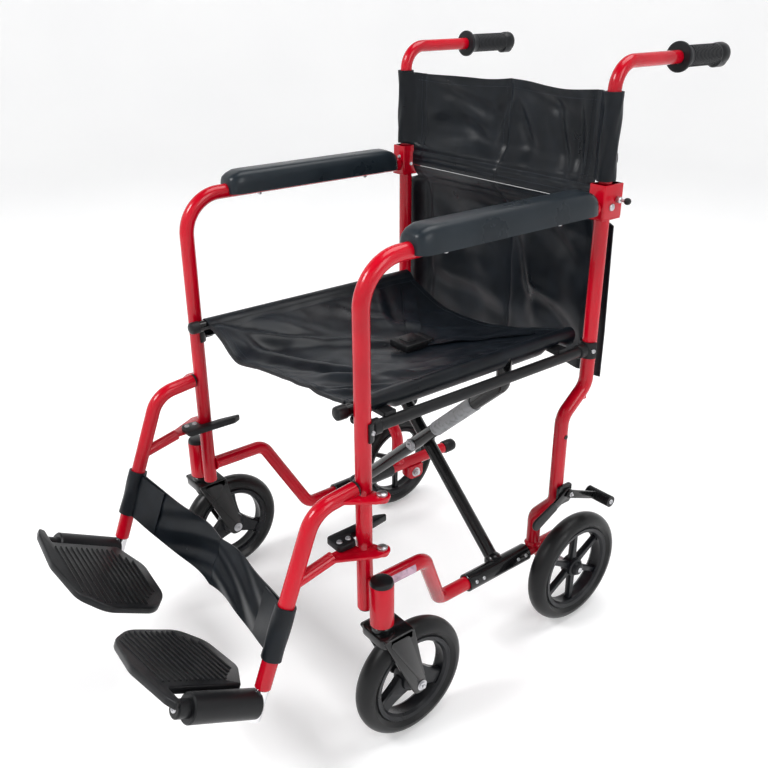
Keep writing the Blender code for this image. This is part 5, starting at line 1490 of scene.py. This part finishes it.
def belt(side, s):
    """Half of the lap belt lying in the seat; the left half carries the buckle."""
    ends = {1.0: ((0.150, 0.385), (0.026, 0.250)), -1.0: ((-0.150, 0.385), (-0.016, 0.285))}[s]
    (x0, y0), (x1, y1) = ends
    forward = Vector((x1 - x0, y1 - y0, 0)).normalized()
    across = Vector((-forward.y, forward.x, 0)) * 0.0125
    rows = []
    for i in range(41):
        share = i / 40
        x, y = x0 + (x1 - x0) * share, y0 + (y1 - y0) * share
        lift = 0.0030 + 0.004 * math.sin(math.pi * share) ** 2 * (0.5 + 0.5 * math.sin(share * 11))
        row = []
        for k in range(7):
            way = -1 + 2 * k / 6
            px, py = x + way * across.x, y + way * across.y
            row.append((px, FRONT_Y + py, seat_height(px, py) + lift))
        rows.append(row)
    strap, flat = cloth_object("Belt_" + side, rows, 0.0014)
    pieces = [strap]
    if s > 0:
        z = seat_height(0.026, 0.245) + 0.0025
        buckle = Piece("plastic")
        buckle.block((0.005, FRONT_Y + 0.215, z), (0.048, FRONT_Y + 0.261, z + 0.0125), 0, 0.003)
        buckle.block((0.009, FRONT_Y + 0.261, z + 0.001), (0.044, FRONT_Y + 0.275, z + 0.011), 0, 0.0025)
        buckle.block((0.016, FRONT_Y + 0.225, z + 0.012), (0.037, FRONT_Y + 0.243, z + 0.0140), 0, 0.001)
        pieces.append(buckle.make("Belt_buckle", None, ()))
    for piece in pieces:
        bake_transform(piece)
    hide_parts("lap_belt_" + side)


# ---------------------------------------------------------------- stage
def stage():
    """Pale seamless floor and wall, soft lights and the camera."""
    floor = bpy.data.meshes.new("Studio_floor")
    profile = [(0.02, 0.0), (4.2, 0.0)]
    for k in range(1, 13):
        turn = math.pi / 2 * k / 12
        profile.append((4.2 + 1.6 * math.sin(turn), 1.6 - 1.6 * math.cos(turn)))
    profile.append((5.8, 6.5))
    count = 72
    points = [(r * math.cos(2 * math.pi * k / count), r * math.sin(2 * math.pi * k / count), z - 0.0006)
              for r, z in profile for k in range(count)]
    faces = [tuple(range(count))]
    for i in range(len(profile) - 1):
        for k in range(count):
            j = (k + 1) % count
            faces.append((i * count + k, (i + 1) * count + k, (i + 1) * count + j, i * count + j))
    floor.from_pydata(points, [], faces)
    floor.shade_smooth()
    nodes = Nodes("Studio paper")
    cloud = nodes.noise(1.5, 3.0)
    floor.materials.append(nodes.finish({"Specular IOR Level": 0.0, "Emission Color": (1.0, 1.0, 1.0, 1.0),
                                         "Emission Strength": 0.21}, {
        "Base Color": nodes.mix(nodes.ramp(cloud, 0.3, 0.7), (0.86, 0.86, 0.865, 1), (0.89, 0.89, 0.89, 1)),
        "Roughness": nodes.ramp(cloud, 0.3, 0.7, 0.7, 0.8)}))
    made = bpy.data.objects.new("Studio_floor", floor)
    bpy.context.scene.collection.objects.link(made)

    world = bpy.data.worlds.new("Studio air")
    world.use_nodes = True
    air = world.node_tree.nodes["Background"]
    air.inputs["Color"].default_value = (0.97, 0.98, 1.0, 1.0)
    air.inputs["Strength"].default_value = 0.10
    bpy.context.scene.world = world

    def softbox(name, place, target, size, power):
        light = bpy.data.lights.new(name, "AREA")
        light.shape = "RECTANGLE"
        light.size, light.size_y = size
        light.energy = power
        lamp = bpy.data.objects.new(name, light)
        lamp.location = place
        lamp.rotation_euler = (Vector(target) - Vector(place)).to_track_quat("-Z", "Y").to_euler()
        bpy.context.scene.collection.objects.link(lamp)

    softbox("Softbox_key", (-0.6, -2.6, 3.0), (0, 0, 0.4), (1.3, 1.0), 88)
    softbox("Softbox_fill", (3.2, 0.3, 2.2), (0, 0, 0.4), (1.1, 1.8), 30)
    softbox("Softbox_top", (0.2, 0.9, 3.6), (0, 0, 0.4), (2.2, 2.2), 72)

    camera = bpy.data.cameras.new("Camera")
    camera.lens = 41.14
    camera.sensor_width = 36.0
    eye = bpy.data.objects.new("Camera", camera)
    azimuth, elevation, roll = (math.radians(a) for a in (51.363, 24.376, -0.229))
    forward = Vector((-math.sin(azimuth) * math.cos(elevation), math.cos(azimuth) * math.cos(elevation),
                      -math.sin(elevation)))
    right = forward.cross(Vector((0, 0, 1))).normalized()
    top = right.cross(forward)
    turned_right = right * math.cos(roll) + top * math.sin(roll)
    turned_top = top * math.cos(roll) - right * math.sin(roll)
    matrix = Matrix((turned_right, turned_top, -forward)).transposed().to_4x4()
    matrix.translation = Vector((0.9911, -0.7713, 0.9857))
    eye.matrix_world = matrix
    bpy.context.scene.collection.objects.link(eye)
    bpy.context.scene.camera = eye
    bpy.context.scene.view_settings.view_transform = "Standard"


# ---------------------------------------------------------------- operators
def operator(name, label, text, work):
    """Make one operator class that runs a builder function."""
    def execute(self, context):
        work()
        return {"FINISHED"}

    return type("WHEELCHAIR_OT_" + name, (bpy.types.Operator,),
                {"bl_idname": "wheelchair." + name, "bl_label": label, "__doc__": text, "execute": execute})


def both(*makers):
    """A builder that runs each maker for the left and the right side."""
    def work():
        for side, s in SIDES:
            for maker in makers:
                maker(side, s)
    return work


def braces():
    brace("Cross_brace_front", BRACE_Y - BRACE_SIDE, -1.0, ["cross_brace_front"], "brace_front")
    brace("Cross_brace_rear", BRACE_Y + BRACE_SIDE, 1.0, ["cross_brace_rear"], "brace_rear")
    pivot_bolt()


OPERATORS = [
    operator("stage", "Stage", "Add the floor, the lights and the camera", stage),
    operator("side_frames", "Side frames", "Build the painted tubes of both side frames",
             both(arm_tube, rear_post, lower_rail, small_frame_parts, back_bracket)),
    operator("seat_supports", "Seat supports", "Build the rails and clamps under the seat",
             both(seat_support)),
    operator("braces", "Cross braces", "Build the folding cross braces", braces),
    operator("casters", "Casters", "Build the front forks and wheels", casters),
    operator("rear_wheels", "Rear wheels", "Build the rear wheels", rear_wheels),
    operator("brakes", "Brakes", "Build the brake levers and rollers", both(seat_brake_parts)),
    operator("hangers", "Hangers", "Build the swing-away hangers and latches",
             both(hanger, hanger_latch, extension)),
    operator("footplates", "Footplates", "Build the footplates", both(footplate)),
    operator("handles", "Handles", "Build the back canes and grips", both(cane, grip)),
    operator("seat", "Seat cloth", "Build the seat sling", seat_cloth),
    operator("back", "Back cloth", "Build the upper and lower back cloth", both(upper_cloth, lower_cloth)),
    operator("calf_strap", "Calf strap", "Build the calf strap", both(calf_band)),
    operator("belt", "Lap belt", "Build the lap belt", both(belt)),
]


class WHEELCHAIR_PT_panel(bpy.types.Panel):
    """Lists the wheelchair's settings and builders."""
    bl_label = "Wheelchair"
    bl_space_type = "VIEW_3D"
    bl_region_type = "UI"
    bl_category = "Wheelchair"

    def draw(self, context):
        for group in ("wheelchair_tubes", "wheelchair_cloth", "wheelchair_wheels"):
            settings = getattr(context.scene, group)
            for key in settings.bl_rna.properties.keys():
                if key not in ("rna_type", "name"):
                    self.layout.prop(settings, key)
        for made in OPERATORS:
            self.layout.operator(made.bl_idname)


GROUPS = {"wheelchair_tubes": WheelchairTubes, "wheelchair_cloth": WheelchairCloth,
          "wheelchair_wheels": WheelchairWheels}


def register():
    for name, group in GROUPS.items():
        bpy.utils.register_class(group)
        setattr(bpy.types.Scene, name, bpy.props.PointerProperty(type=group))
    for made in OPERATORS + [WHEELCHAIR_PT_panel]:
        bpy.utils.register_class(made)


def unregister():
    for made in reversed(OPERATORS + [WHEELCHAIR_PT_panel]):
        bpy.utils.unregister_class(made)
    for name, group in GROUPS.items():
        delattr(bpy.types.Scene, name)
        bpy.utils.unregister_class(group)


def main():
    register()
    for made in OPERATORS:
        getattr(bpy.ops.wheelchair, made.bl_idname.split(".")[1])()


if __name__ == "__main__":
    main()
